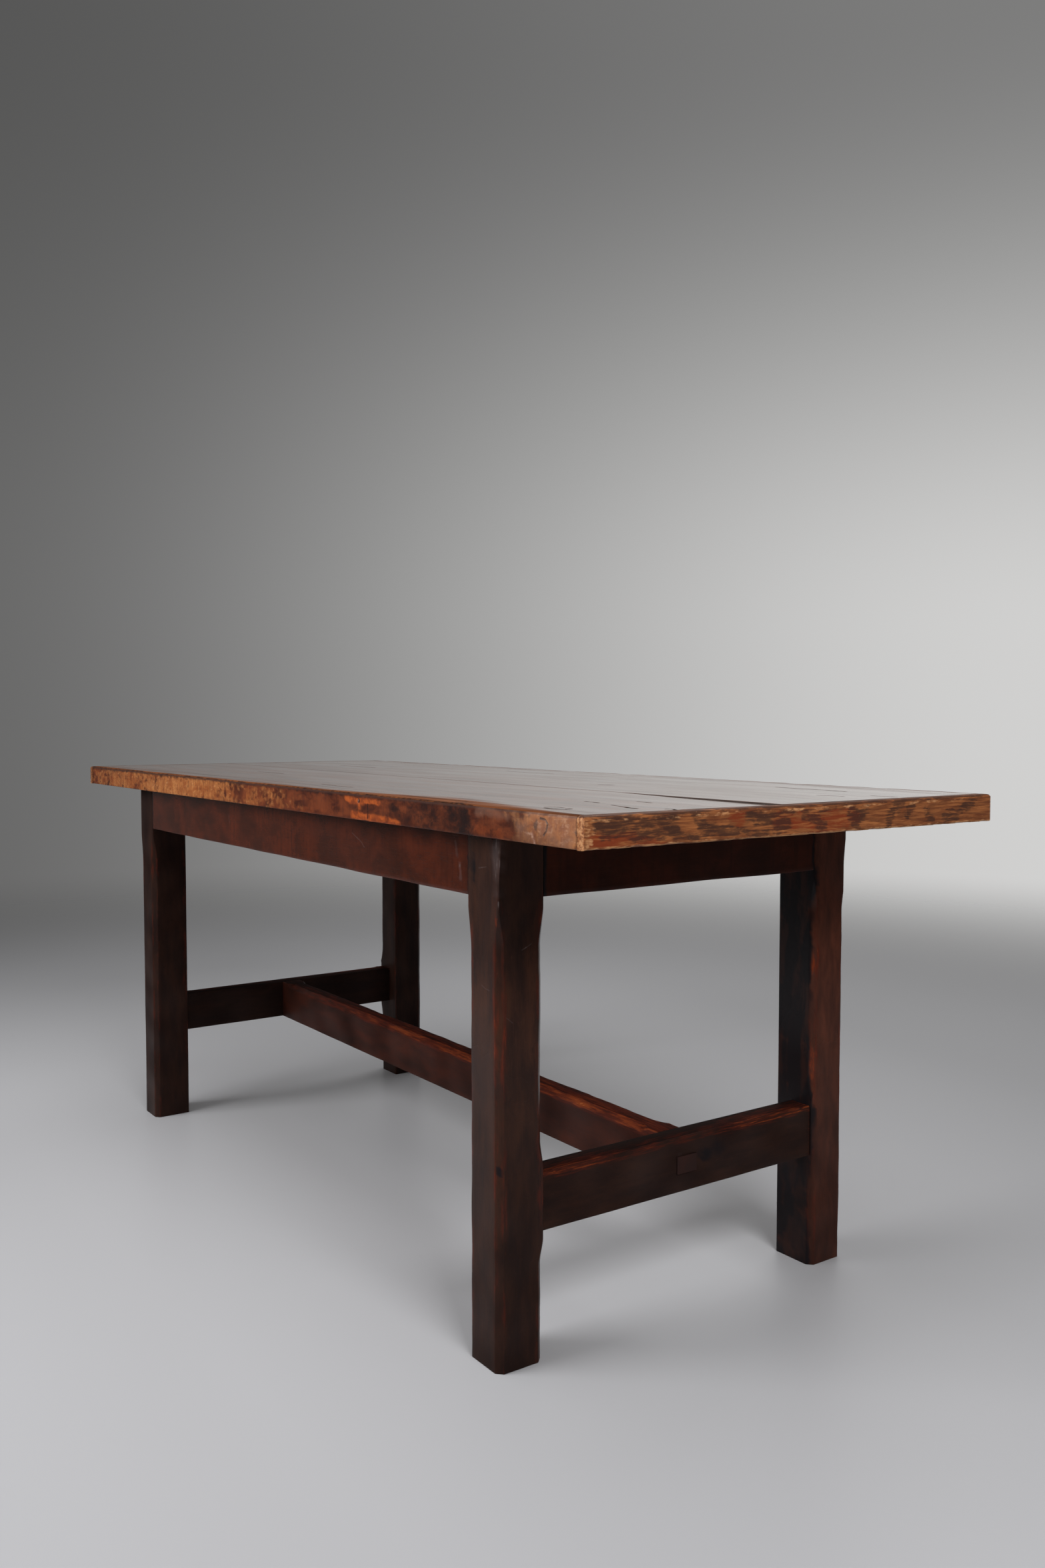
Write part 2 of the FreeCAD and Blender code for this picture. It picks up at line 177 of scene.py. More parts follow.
# Where feet rest less on an end stretcher: its middle and half width, and the fade beside it
UNTROD_MIDDLE = -30 * MM
UNTROD_HALF = 60 * MM
UNTROD_FADE = 140 * MM
# Where foot wear begins on the centre stretcher, and over what length it grows
TROD_FROM = -680 * MM
TROD_FADE = 500 * MM

# The centre stretcher's through tenon
TENON_WIDTH = 38 * MM
TENON_HEIGHT = 26 * MM
TENON_RISE = 27 * MM
TENON_FIT = 0.1 * MM

# The camera of the photograph, for a picture of 1568 by 2352 pixels
PICTURE_HEIGHT = 2352
FOCAL_PIXELS = 1912.98
EYE = Vector((2.07203, -1.25145, 0.86857))
CAMERA_YAW = math.radians(55.0411)
CAMERA_PITCH = math.radians(-2.9008)
SENSOR = 36.0

# The floor's radius and where it begins and ends to fade, and the grey light from all round
FLOOR_RADIUS = 7.0
FLOOR_FADE = (2.2, 5.5)
AMBIENT = 0.075


def rough(place, size, seed=0.0):
    """A smooth random value from -1 to 1 that changes over about the given size."""
    return noise.noise(Vector(place) / size + Vector((seed, 1.7 * seed, -2.3 * seed)))


def ease_in_out(share):
    """From 0 to 1 with a soft start and end."""
    share = min(max(share, 0.0), 1.0)
    return share * share * (3 - 2 * share)


def stop_share(share):
    """From 0 to 1 nearly straight, as the stop of a chamfer runs out."""
    share = min(max(share, 0.0), 1.0)
    return (share + ease_in_out(share)) / 2


def squared_board(lo, hi):
    """A squared board between two corners, with the surface's layers."""
    bm = bmesh.new()
    for layer in LAYERS:
        bm.verts.layers.float.new(layer)
    bmesh.ops.create_cube(bm, size=1.0)
    bmesh.ops.scale(bm, vec=hi - lo, verts=bm.verts)
    bmesh.ops.translate(bm, vec=(lo + hi) / 2, verts=bm.verts)
    return bm


def layers(bm, *names):
    """The surface's layers of these names."""
    return [bm.verts.layers.float[name] for name in names]


def edges_along(bm, axis, **places):
    """The edges that run along an axis, at the given places on other axes."""
    number = "xyz".index(axis)
    found = []
    for edge in bm.edges:
        one, other = edge.verts[0].co, edge.verts[1].co
        run = other - one
        middle = (one + other) / 2
        straight = abs(run[number]) > 0.999 * run.length
        if straight and all(abs(getattr(middle, key) - place) < HAIR for key, place in places.items()):
            found.append(edge)
    return found


def round_over(bm, edges, radius, segments):
    """Rounds edges to a radius."""
    bmesh.ops.bevel(bm, geom=edges, offset=radius, offset_type="OFFSET", affect="EDGES",
                    segments=segments, profile=0.5, material=-1, clamp_overlap=True)


def divide(bm, axis, step, **places):
    """Divides edges along an axis into steps, so that their faces become a grid."""
    lengths = {}
    for edge in edges_along(bm, axis, **places):
        lengths.setdefault(round(edge.calc_length() / HAIR), []).append(edge)
    for length, edges in lengths.items():
        cuts = round(length * HAIR / step) - 1
        if cuts > 0:
            bmesh.ops.subdivide_edges(bm, edges=edges, cuts=cuts, use_grid_fill=True)


def slice_at(bm, axis, place):
    """Cuts a board right through with a plane across an axis, and keeps both sides."""
    number = "xyz".index(axis)
    normal, point = Vector((0, 0, 0)), Vector((0, 0, 0))
    normal[number], point[number] = 1.0, place
    geometry = bm.verts[:] + bm.edges[:] + bm.faces[:]
    bmesh.ops.bisect_plane(bm, geom=geometry, dist=HAIR / 10, plane_co=point, plane_no=normal)


def verts_round(bm, points, margins):
    """The vertices within margins of the box round some points."""
    low_x, low_y, low_z = (min(point[i] for point in points) - margins[i] for i in range(3))
    high_x, high_y, high_z = (max(point[i] for point in points) + margins[i] for i in range(3))
    found = []
    for vert in bm.verts:
        x, y, z = vert.co
        if low_x < x < high_x and low_y < y < high_y and low_z < z < high_z:
            found.append(vert)
    return found


def mark(bm, layer, centre_mm, reach_mm, strength=1.0):
    """Raises a layer round a place, ragged, down to nothing at its reach on each axis."""
    centre, reach = Vector(centre_mm) * MM, Vector(reach_mm) * MM
    values = bm.verts.layers.float[layer]
    for vert in verts_round(bm, [centre], reach * 1.6):
        away = math.sqrt(sum(((vert.co[i] - centre[i]) / reach[i]) ** 2 for i in range(3)))
        near = 1 - away + 0.4 * rough(vert.co, MARK_RAG_SIZE, 2.0)
        near += 0.25 * rough(vert.co, MARK_FINE_RAG_SIZE, 6.0)
        vert[values] = max(vert[values], strength * ease_in_out(1.3 * near))


def away_from_line(place, points):
    """How far a place lies from a line through points."""
    least = math.inf
    for one, other in zip(points, points[1:]):
        foot, share = intersect_point_line(place, one, other)
        foot = one if share < 0 else other if share > 1 else foot
        least = min(least, (place - foot).length)
    return least


def stroke(bm, layer, points_mm, half_mm, strength=1.0, softness=1.5):
    """Raises a layer along a line through points on a face, ragged and soft at its rim."""
    points = [Vector(point) * MM for point in points_mm]
    values = bm.verts.layers.float[layer]
    rim = softness * half_mm * MM
    for vert in verts_round(bm, points, [2 * rim] * 3):
        ragged = 1 + 0.55 * rough(vert.co, STROKE_RAG_SIZE, 3.0)
        ragged += 0.35 * rough(vert.co, STROKE_FINE_RAG_SIZE, 8.0)
        near = 1 - away_from_line(vert.co, points) / (rim * max(ragged, 0.2))
        vert[values] = max(vert[values], strength * ease_in_out(1.3 * near))


def refine(bm, points, reach):
    """Divides the faces near a line through points in three each way."""
    near = {}
    for vert in verts_round(bm, points, [1.5 * reach] * 3):
        near.update(dict.fromkeys(vert.link_edges))
    close = [edge for edge in near
             if away_from_line((edge.verts[0].co + edge.verts[1].co) / 2, points) < reach]
    bmesh.ops.subdivide_edges(bm, edges=close, cuts=2, use_grid_fill=True)


def score(bm, points_mm, width_mm, depth_mm, layer="crack"):
    """Opens a crack along a line through points: finer faces, sunk, and marked a little wider."""
    points = [Vector(point) * MM for point in points_mm]
    width, depth = width_mm * MM, depth_mm * MM
    refine(bm, points, CRACK_MARGIN + width)
    refine(bm, points, CRACK_FINE_MARGIN + width)
    bm.normal_update()
    values = bm.verts.layers.float[layer]
    for vert in verts_round(bm, points, [2 * width] * 3):
        ragged = 1 + 0.5 * rough(vert.co, CRACK_RAG_SIZE, 4.0)
        away = away_from_line(vert.co, points) / (width * ragged)
        vert[values] = max(vert[values], min(1.0, 3.5 * (1 - away / 1.25)))
        if away < 1:
            vert.co -= vert.normal * depth * (1 - away)


def scratch(bm, points_mm, half_mm, strength):
    """A thin pale scratch along a line through points: finer faces, marked."""
    points = [Vector(point) * MM for point in points_mm]
    refine(bm, points, SCRATCH_REACH)
    refine(bm, points, SCRATCH_FINE_MARGIN + half_mm * MM)
    stroke(bm, "scuff", points_mm, half_mm, strength)


def leave_marks(bm, node, marks):
    """A piece's scratches, and its marks."""
    for points, half, strength in SCRATCHES.get(node, []):
        scratch(bm, points, half, strength)
    for layer, place, reach, strength in marks:
        mark(bm, layer, place, reach, strength)


def inward_signs(bm, axis, corner):
    """The numbers of the axes across an axis, each with the sign that points from a corner inwards."""
    centre = sum((vert.co for vert in bm.verts), Vector()) / len(bm.verts)
    across = [i for i in range(3) if i != "xyz".index(axis)]
    return [(i, math.copysign(1, centre[i] - corner[i])) for i in across]


def stop_chamfer(bm, axis, corner, size, reach):
    """Gives a chamfer along an axis its stops: reach(place) is its size there, as a pair of shares."""
    number = "xyz".index(axis)
    inward = inward_signs(bm, axis, corner)
    for vert in bm.verts:
        offsets = [(vert.co[i] - corner[i]) * sign for i, sign in inward]
        if min(offsets) > -HAIR and abs(sum(offsets) - size) < 5 * HAIR:
            for (i, sign), offset, share in zip(inward, offsets, reach(vert.co[number])):
                vert.co[i] = corner[i] + sign * offset * share


def wear_chamfer(bm, axis, corner, size, reach, spread, middle):
    """Marks both arrises of a chamfer as worn, fading over a spread, and the flat between them."""
    number = "xyz".index(axis)
    inward = inward_signs(bm, axis, corner)
    wear = bm.verts.layers.float["wear"]
    for vert in bm.verts:
        one, other = [(vert.co[i] - corner[i]) * sign for i, sign in inward]
        if max(one, other) > size + 5 * spread and min(one, other) > 5 * spread:
            continue
        one_width, other_width = [size * share for share in reach(vert.co[number])]
        away = min(math.hypot(one - one_width, other), math.hypot(one, other - other_width))
        value = math.exp(-away / spread)
        if one < one_width and other < other_width:
            value = max(value, middle)
        vert[wear] = max(vert[wear], value)


def ease_arrises(bm, axis):
    """Rounds the long arrises a little, as use has done."""
    number = "xyz".index(axis)
    sharp = []
    for edge in bm.edges:
        run = edge.verts[1].co - edge.verts[0].co
        lengthwise = abs(run[number]) > 0.8 * run.length
        if lengthwise and edge.is_manifold and edge.calc_face_angle() > math.radians(ARRIS_LEAST_DEGREES):
            sharp.append(edge)
    round_over(bm, sharp, ARRIS_EASE, 2)


def wear_square_arrises(bm, strength):
    """Marks every rounded arris as worn by up to a strength."""
    bm.normal_update()
    wear = bm.verts.layers.float["wear"]
    grows_over = ARRIS_WEAR_FULL_DEGREES - ARRIS_WEAR_FROM_DEGREES
    for vert in bm.verts:
        turn = math.degrees(math.acos(min(1.0, max(abs(value) for value in vert.normal))))
        patchy = 0.7 + 0.5 * rough(vert.co, ARRIS_PATCH_SIZE, 6.0)
        turned = ease_in_out((turn - ARRIS_WEAR_FROM_DEGREES) / grows_over)
        vert[wear] = max(vert[wear], strength * patchy * turned)


def hand_planed(bm, size, seed):
    """Lets the faces wander in and out a little, as hand-planed and worn wood does."""
    bm.normal_update()
    for vert in bm.verts:
        vert.co += vert.normal * PLANED * (rough(vert.co, size, seed) - 0.6)


def finish_piece(bm, node, materials, choose=None):
    """Makes a modelled piece an object that stands for its node, with its faces' materials."""
    for face in bm.faces:
        face.smooth = True
        if choose:
            face.material_index = choose(face)
    bm.normal_update()
    mesh = bpy.data.meshes.new(node + "_worn")
    bm.to_mesh(mesh)
    bm.free()
    mesh.set_sharp_from_angle(angle=math.radians(CRISP_DEGREES))
    for material in materials:
        mesh.materials.append(material)
    piece = bpy.data.objects.new(node + "_worn", mesh)
    bpy.context.scene.collection.objects.link(piece)
    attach(piece, "root")
    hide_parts(node)


def colour(red, green, blue):
    """A screen colour from 0 to 255 as the linear colour that a shader takes."""
    shares = [value / 255 for value in (red, green, blue)]
    linear = [share / 12.92 if share <= 0.04045 else ((share + 0.055) / 1.055) ** 2.4 for share in shares]
    return (*linear, 1.0)


class Patterns:
    """A tree of shader nodes to which patterns are added."""

    def __init__(self, tree):
        self.tree = tree

    def add(self, kind, *values, **settings):
        """Adds a node with its settings, and fills its inputs in order by link or by value."""
        node = self.tree.nodes.new("ShaderNode" + kind)
        for name, value in settings.items():
            setattr(node, name, value)
        for socket, value in zip(node.inputs, values):
            self.fill(socket, value)
        return node

    def fill(self, socket, value):
        """Links an output to an input, or sets the input's own value."""
        if isinstance(value, bpy.types.NodeSocket):
            self.tree.links.new(value, socket)
        elif value is not None:
            socket.default_value = value

    def math(self, operation, *values):
        return self.add("Math", *values, operation=operation).outputs[0]

    def times(self, one, other):
        return self.math("MULTIPLY", one, other)

    def line(self, value, slope, start):
        """A value times a slope, from a start."""
        return self.math("MULTIPLY_ADD", value, slope, start)

    def vector(self, operation, *values):
        return self.add("VectorMath", *values, operation=operation)

    def map_softly(self, value, low, high, first, last):
        """From the first to the last, softly, as a value goes from low to high."""
        node = self.add("MapRange", value, low, high, first, last, interpolation_type="SMOOTHSTEP")
        return node.outputs[0]

    def step(self, value, low, high):
        """From 0 to 1, softly, as a value goes from low to high."""
        return self.map_softly(value, low, high, 0.0, 1.0)


class Finish(Patterns):
    """A finish built up from patterns in the wood's own space, with the grain along its X."""

    TURNS = {"x": (0, 0, 0), "y": (0, 0, -math.pi / 2), "z": (0, math.pi / 2, 0)}

    def __init__(self, name, grain="x", shift=(0, 0, 0)):
        self.material = bpy.data.materials.new(name)
        self.material.use_nodes = True
        super().__init__(self.material.node_tree)
        self.shader = self.tree.nodes["Principled BSDF"]
        self.place = self.add("TexCoord").outputs["Object"]
        self.grain = self.add("Mapping", self.place, shift, self.TURNS[grain]).outputs[0]

    def layer(self, name):
        """One of the values that the surface carries."""
        return self.add("Attribute", attribute_name=name).outputs["Fac"]

    def stretched(self, space, sizes_mm):
        """A space in which patterns of size 1 get these sizes."""
        return self.vector("MULTIPLY", space, [1 / (size * MM) for size in sizes_mm]).outputs[0]

    def cloud(self, sizes_mm, detail=4.0, crumble=0.55, bend=0.0):
        """Noise from 0 to 1 whose features have about these sizes along and across the grain."""
        space = self.stretched(self.grain, sizes_mm)
        return self.add("TexNoise", space, None, 1.0, detail, crumble, 2.0, None, None, bend).outputs[0]

    def blend(self, factor, first, second):
        """Goes from the first colour to the second as the factor goes from 0 to 1."""
        node = self.add("Mix", data_type="RGBA")
        for number, value in ((0, factor), (6, first), (7, second)):
            self.fill(node.inputs[number], value)
        return node.outputs[2]

    def tones(self, factor, first, second):
        """Goes from the first tone to the second as the factor goes from 0 to 1."""
        return self.blend(factor, colour(*first), colour(*second))

    def lay(self, body, amount, tone, share=1.0):
        """Lays a tone over a colour, as far as an amount times a share says."""
        if share < 1:
            amount = self.times(amount, share)
        return self.blend(amount, body, colour(*tone))

    def broken(self, value, speckle, low, high, spread=0.8):
        """A layer's value broken up by noise, so that its rim is ragged."""
        ragged = self.line(self.step(speckle, 0.3, 0.7), spread, -spread / 2)
        ragged = self.times(ragged, self.step(value, 0.0, 0.3))
        return self.step(self.math("ADD", value, ragged), low, high)

    def rings(self, pith_mm, tilt, spacing_mm, wobble_mm, wobble_sizes_mm):
        """Dark late wood of growth rings round a pith line that runs nearly along the grain."""
        moved = self.add("Mapping", self.grain, [-value * MM for value in pith_mm], tilt).outputs[0]
        space = self.stretched(moved, wobble_sizes_mm)
        wander = self.add("TexNoise", space, None, 1.0, 3.0, 0.5).outputs[1]
        centred = self.vector("SUBTRACT", wander, (0.5, 0.5, 0.5)).outputs[0]
        shifted = self.vector("MULTIPLY_ADD", centred, [2 * wobble_mm * MM] * 3, moved).outputs[0]
        flat = self.vector("MULTIPLY", shifted, (0, 1, 1)).outputs[0]
        radius = self.vector("LENGTH", flat).outputs["Value"]
        share = self.math("FRACT", self.math("DIVIDE", radius, spacing_mm * MM))
        return self.math("SUBTRACT", self.step(share, 0.25, 0.92), self.step(share, 0.93, 1.0))

    def bump(self, height, depth_mm, strength):
        node = self.add("Bump")
        for name, value in (("Strength", strength), ("Distance", depth_mm * MM), ("Height", height)):
            self.fill(node.inputs[name], value)
        return node.outputs[0]

    def set(self, **values):
        """Fills the shader's sockets, base_color for Base Color and so on, and gives the material."""
        for name, value in values.items():
            self.fill(self.shader.inputs[name.replace("_", " ").title().replace("Ior", "IOR")], value)
        return self.material


def stained_frame(name, grain, shift, stain, rubbed, flecks_mm=(34, 6, 6), mottle_mm=(90, 26, 26),
                  flaky=0.9, saw_marks=0.0, bloom_and_sheen=0.32):
    """Dark stained and waxed oak, rubbed to red and then to a paler tone along its arrises."""
    ground, deep = stain
    wood = Finish(name, grain, shift)
    mottle = wood.cloud(mottle_mm, 4, 0.55, 0.3)
    streak = wood.cloud((240, 9, 9), 5, 0.6)
    haze = wood.cloud((210, 120, 120), 3)
    fibre = wood.cloud((50, 1.5, 1.5), 3)
    flecks = wood.cloud(flecks_mm, 5, 0.66)
    crumbs = wood.cloud((5, 2.5, 2.5), 4, 0.6)
    scrape = wood.cloud((26, 3, 3), 5, 0.62)
    spots = wood.cloud((15, 7, 7), 5, 0.68)
    pores = wood.step(wood.cloud((20, 0.9, 0.9), 2), 0.62, 0.74)
    wear, scuff, grime = wood.layer("wear"), wood.layer("scuff"), wood.layer("grime")
    body = wood.tones(wood.step(mottle, 0.28, 0.72), deep, ground)
    body = wood.lay(body, wood.step(streak, 0.5, 0.75), deep, 0.22)
    body = wood.lay(body, wood.step(spots, 0.5, 0.72), deep, 0.45)
    if saw_marks:
        saw = wood.cloud((7, 80, 80), 5, 0.62, 0.2)
        body = wood.lay(body, wood.step(saw, 0.46, 0.70), deep, saw_marks)
    body = wood.lay(body, wood.step(crumbs, 0.6, 0.78), (108, 66, 48), 0.2)
    # A greyer tone in broad patches: partly the wood's own, partly a painted sheen of the grey that the
    # waxed faces reflect
    body = wood.lay(body, wood.step(haze, 0.42, 0.68), (60, 45, 42), bloom_and_sheen)
    body = wood.lay(body, wood.step(fibre, 0.5, 0.8), (90, 50, 35), 0.2)
    body = wood.lay(body, pores, (20, 12, 10), 0.45)
    # Grime darkens the wood: dirt, and on the legs low down, the stretchers and the far pieces painted
    # shade as well
    body = wood.lay(body, grime, (23, 15, 14), 0.85)
    body = wood.lay(body, wood.broken(wear, flecks, 0.12, 0.95, 0.9), (88, 34, 22), 0.55)
    body = wood.lay(body, wood.broken(wear, flecks, 0.72, 1.15, flaky), rubbed, 0.85)
    bare = wood.times(wood.broken(wear, flecks, 1.02, 1.3, flaky), wood.step(crumbs, 0.5, 0.7))
    body = wood.lay(body, bare, (206, 128, 72), 0.8)
    body = wood.lay(body, wood.broken(wood.layer("ember"), flecks, 0.1, 1.0), (138, 56, 24))
    body = wood.lay(body, wood.broken(wood.layer("soot"), mottle, 0.1, 1.0), (26, 21, 23))
    body = wood.lay(body, scuff, (116, 100, 99), 0.6)
    body = wood.lay(body, wood.broken(scuff, scrape, 0.4, 1.1, 0.6), (166, 152, 148), 0.8)
    body = wood.lay(body, wood.layer("crack"), (12, 8, 7))
    height = wood.line(mottle, 1.2, wood.math("SUBTRACT", wood.times(fibre, 0.4), pores))
    return wood.set(base_color=body, normal=wood.bump(height, 0.25, 0.25),
                    roughness=wood.line(grime, 0.35, wood.line(haze, 0.18, 0.14)),
                    specular_ior_level=wood.line(grime, -0.17, 0.18))


def waxed_top(name, shift, pith_mm, light, dark):
    """The waxed upper face of a plank: amber wood with a flat-sawn figure and a deep gloss."""
    wood = Finish(name, "x", shift)
    rings = wood.rings(pith_mm, (0, 0.02, 0.012), 9, 17, (460, 80, 80))
    streak = wood.cloud((420, 14, 14), 6, 0.6)
    blotch = wood.cloud((340, 130, 130), 4)
    fibre = wood.cloud((70, 1.4, 1.4), 3)
    sway = wood.cloud((260, 45, 45), 2)
    speckle = wood.cloud((10, 5, 5), 4)
    pores = wood.step(wood.cloud((16, 0.8, 0.8), 2), 0.60, 0.70)
    patches = wood.step(wood.cloud((330, 55, 55), 5, 0.62), 0.32, 0.68)
    stains = wood.step(wood.cloud((170, 80, 80), 6, 0.66, 0.8), 0.55, 0.70)
    crack = wood.layer("crack")
    dull = wood.broken(wood.layer("grime"), streak, 0.1, 0.9, 0.5)
    closed = wood.math("SUBTRACT", 1.0, wood.step(crack, 0.0, 0.35))
    waxed = wood.times(closed, wood.line(dull, -0.92, 1.0))
    late_wood = wood.times(rings, wood.line(patches, 0.45, 0.12))
    body = wood.tones(wood.step(streak, 0.3, 0.7), light, dark)
    body = wood.lay(body, late_wood, [0.55 * value for value in dark])
    body = wood.lay(body, wood.step(blotch, 0.52, 0.8), (64, 34, 20), 0.6)
    body = wood.lay(body, stains, (50, 27, 17), 0.42)
    body = wood.lay(body, pores, (40, 22, 14), 0.5)
    body = wood.lay(body, wood.broken(wood.layer("soot"), speckle, 0.2, 1.0), (38, 22, 16))
    body = wood.lay(body, crack, (14, 9, 7))
    height = wood.line(sway, 3.0, wood.math("SUBTRACT", wood.times(fibre, 0.3), pores))
    return wood.set(base_color=body, normal=wood.bump(height, 0.16, 0.6),
                    roughness=wood.line(waxed, -0.55, wood.line(blotch, 0.16, 0.69)),
                    specular_ior_level=wood.times(waxed, 0.5),
                    coat_weight=wood.times(wood.line(patches, -0.26, 1.0), waxed),
                    coat_roughness=0.08, coat_tint=(1.0, 0.96, 0.91, 1.0))


def rubbed_edge(name, shift):
    """A plank's long edge: mottled red and gold, streaked up and down, with blackened patches."""
    wood = Finish(name, "x", shift)
    saw = wood.cloud((6, 60, 30), 5, 0.62, 0.2)
    saw_fine = wood.cloud((1.8, 40, 20), 3, 0.6)
    blotch = wood.cloud((46, 60, 22), 5, 0.64, 0.5)
    drift = wood.cloud((15, 40, 12), 6, 0.68, 0.4)
    speckle = wood.cloud((9, 9, 5), 5, 0.68)
    scuff = wood.layer("scuff")
    body = wood.tones(wood.step(blotch, 0.30, 0.70), (56, 24, 17), (112, 55, 30))
    body = wood.lay(body, wood.step(saw, 0.5, 0.8), (48, 27, 27), 0.5)
    gold = wood.tones(wood.step(saw, 0.30, 0.70), (186, 121, 68), (142, 80, 41))
    gold = wood.lay(gold, wood.step(blotch, 0.46, 0.64), (138, 72, 33), 0.7)
    gold = wood.lay(gold, wood.step(drift, 0.46, 0.66), (112, 58, 33), 0.6)
    gold = wood.lay(gold, wood.step(speckle, 0.54, 0.72), (214, 158, 106), 0.5)
    glow = wood.tones(wood.step(drift, 0.35, 0.65), (180, 88, 38), (122, 56, 28))
    body = wood.blend(wood.broken(wood.layer("wear"), drift, 0.12, 0.88, 0.9), body, gold)
    body = wood.blend(wood.broken(wood.layer("ember"), drift, 0.10, 0.95, 0.5), body, glow)
    body = wood.lay(body, wood.step(saw_fine, 0.52, 0.8), (60, 34, 28), 0.35)
    body = wood.lay(body, wood.broken(wood.layer("soot"), drift, 0.05, 1.05, 0.6), (36, 21, 19))
    body = wood.lay(body, wood.layer("grime"), (64, 40, 32), 0.85)
    body = wood.lay(body, scuff, (158, 118, 99), 0.68)
    body = wood.lay(body, wood.broken(scuff, speckle, 0.45, 1.2, 0.5), (200, 164, 144), 0.5)
    body = wood.lay(body, wood.layer("crack"), (24, 15, 12))
    height = wood.line(blotch, 1.5, wood.line(saw, 0.6, wood.times(saw_fine, 0.4)))
    return wood.set(base_color=body, normal=wood.bump(height, 0.5, 0.5),
                    roughness=wood.line(blotch, 0.30, 0.26), specular_ior_level=0.13)


def end_strip_wood(name, shift, pith_mm):
    """An end strip: golden wood with a smoky flame figure, worn pale at its arrises."""
    wood = Finish(name, "y", shift)
    figure = wood.cloud((70, 20, 20), 4, 0.6, 1.2)
    streak = wood.cloud((38, 2.6, 2.6), 5, 0.66, 0.15)
    wisp = wood.cloud((16, 4.5, 4.5), 5, 0.62, 0.5)
    fibre = wood.cloud((18, 1.1, 1.1), 3)
    speckle = wood.cloud((12, 4, 4), 5, 0.66)
    grit = wood.step(wood.cloud((3.5, 2.2, 2.2), 2), 0.69, 0.75)
    flame = wood.rings((0, -pith_mm, 741), (0, 0, 0.07), 5, 5, (110, 26, 26))
    smoky = wood.line(wisp, 0.5, wood.times(streak, 0.5))
    body = wood.tones(wood.step(streak, 0.30, 0.70), (176, 110, 64), (112, 61, 36))
    body = wood.lay(body, wood.step(figure, 0.48, 0.7), (108, 54, 32), 0.6)
    body = wood.lay(body, flame, (84, 47, 32), 0.42)
    body = wood.lay(body, wood.broken(wood.layer("ember"), streak, 0.2, 0.9, 0.9), (132, 54, 27), 0.85)
    body = wood.lay(body, wood.broken(wood.layer("soot"), smoky, 0.20, 0.85, 1.2), (58, 40, 34), 0.76)
    body = wood.lay(body, wood.step(fibre, 0.56, 0.8), (62, 40, 31), 0.4)
    body = wood.lay(body, wood.broken(wood.layer("wear"), speckle, 0.3, 1.0, 0.9), (204, 148, 102))
    body = wood.lay(body, grit, (200, 154, 114), 0.45)
    body = wood.lay(body, wood.layer("crack"), (24, 15, 12))
    height = wood.line(streak, 0.6, wood.times(fibre, 0.4))
    return wood.set(base_color=body, normal=wood.bump(height, 0.45, 0.6),
                    roughness=wood.line(streak, 0.25, 0.36), specular_ior_level=0.2)


def dry_wood(name, grain, shift, light, dark):
    """Unpolished wood that has darkened out of sight: the top's underside, buttons and tongue."""
    wood = Finish(name, grain, shift)
    streak = wood.cloud((240, 9, 9), 6, 0.62)
    saw = wood.cloud((4, 120, 60), 3)
    dust = wood.cloud((120, 80, 80), 4)
    body = wood.tones(wood.step(streak, 0.3, 0.7), dark, light)
    body = wood.lay(body, wood.step(dust, 0.5, 0.75), (112, 96, 80), 0.4)
    body = wood.lay(body, wood.layer("crack"), (24, 15, 12))
    height = wood.line(streak, 0.6, wood.times(saw, 0.4))
    return wood.set(base_color=body, roughness=0.75, normal=wood.bump(height, 0.5, 0.6))


def old_metal(name, bare, rust, metallic):
    """Old iron or steel, part rusted."""
    metal = Finish(name)
    patches = metal.cloud((3, 3, 3), 5, 0.65)
    body = metal.tones(metal.step(patches, 0.42, 0.66), bare, rust)
    return metal.set(base_color=body, metallic=metallic, normal=metal.bump(patches, 0.1, 0.4),
                     roughness=metal.line(patches, 0.4, 0.3))


# Broad zones of the long edges, in millimetres: layer, place along and up, half sizes, strength
FRONT_EDGE_ZONES = [
    ("wear", -340, 738, 480, 90, 0.92),
    ("wear", -720, 738, 300, 80, 0.66),
    ("wear", 40, 738, 220, 60, 0.34),
    ("wear", 890, 738, 140, 90, 0.95),
    ("grime", 850, 724, 80, 22, 0.60),
    ("scuff", 890, 744, 130, 44, 0.52),
    ("scuff", 840, 752, 50, 12, 0.50),
    ("ember", 230, 724, 150, 12, 0.26),
    ("ember", 610, 728, 70, 14, 0.32),
    ("soot", 590, 740, 150, 50, 0.55),
    ("soot", 806, 738, 46, 34, 0.42),
]
BACK_EDGE_ZONES = [
    ("wear", 430, 738, 460, 90, 0.78),
    ("wear", 700, 738, 240, 80, 0.52),
    ("wear", -760, 738, 260, 90, 0.85),
    ("wear", -330, 738, 240, 60, 0.36),
    ("ember", -240, 746, 90, 9, 0.75),
    ("ember", 60, 727, 70, 8, 0.7),
    ("soot", -480, 738, 190, 46, 0.6),
    ("soot", 180, 740, 90, 34, 0.5),
    ("scuff", -610, 750, 60, 12, 0.45),
]
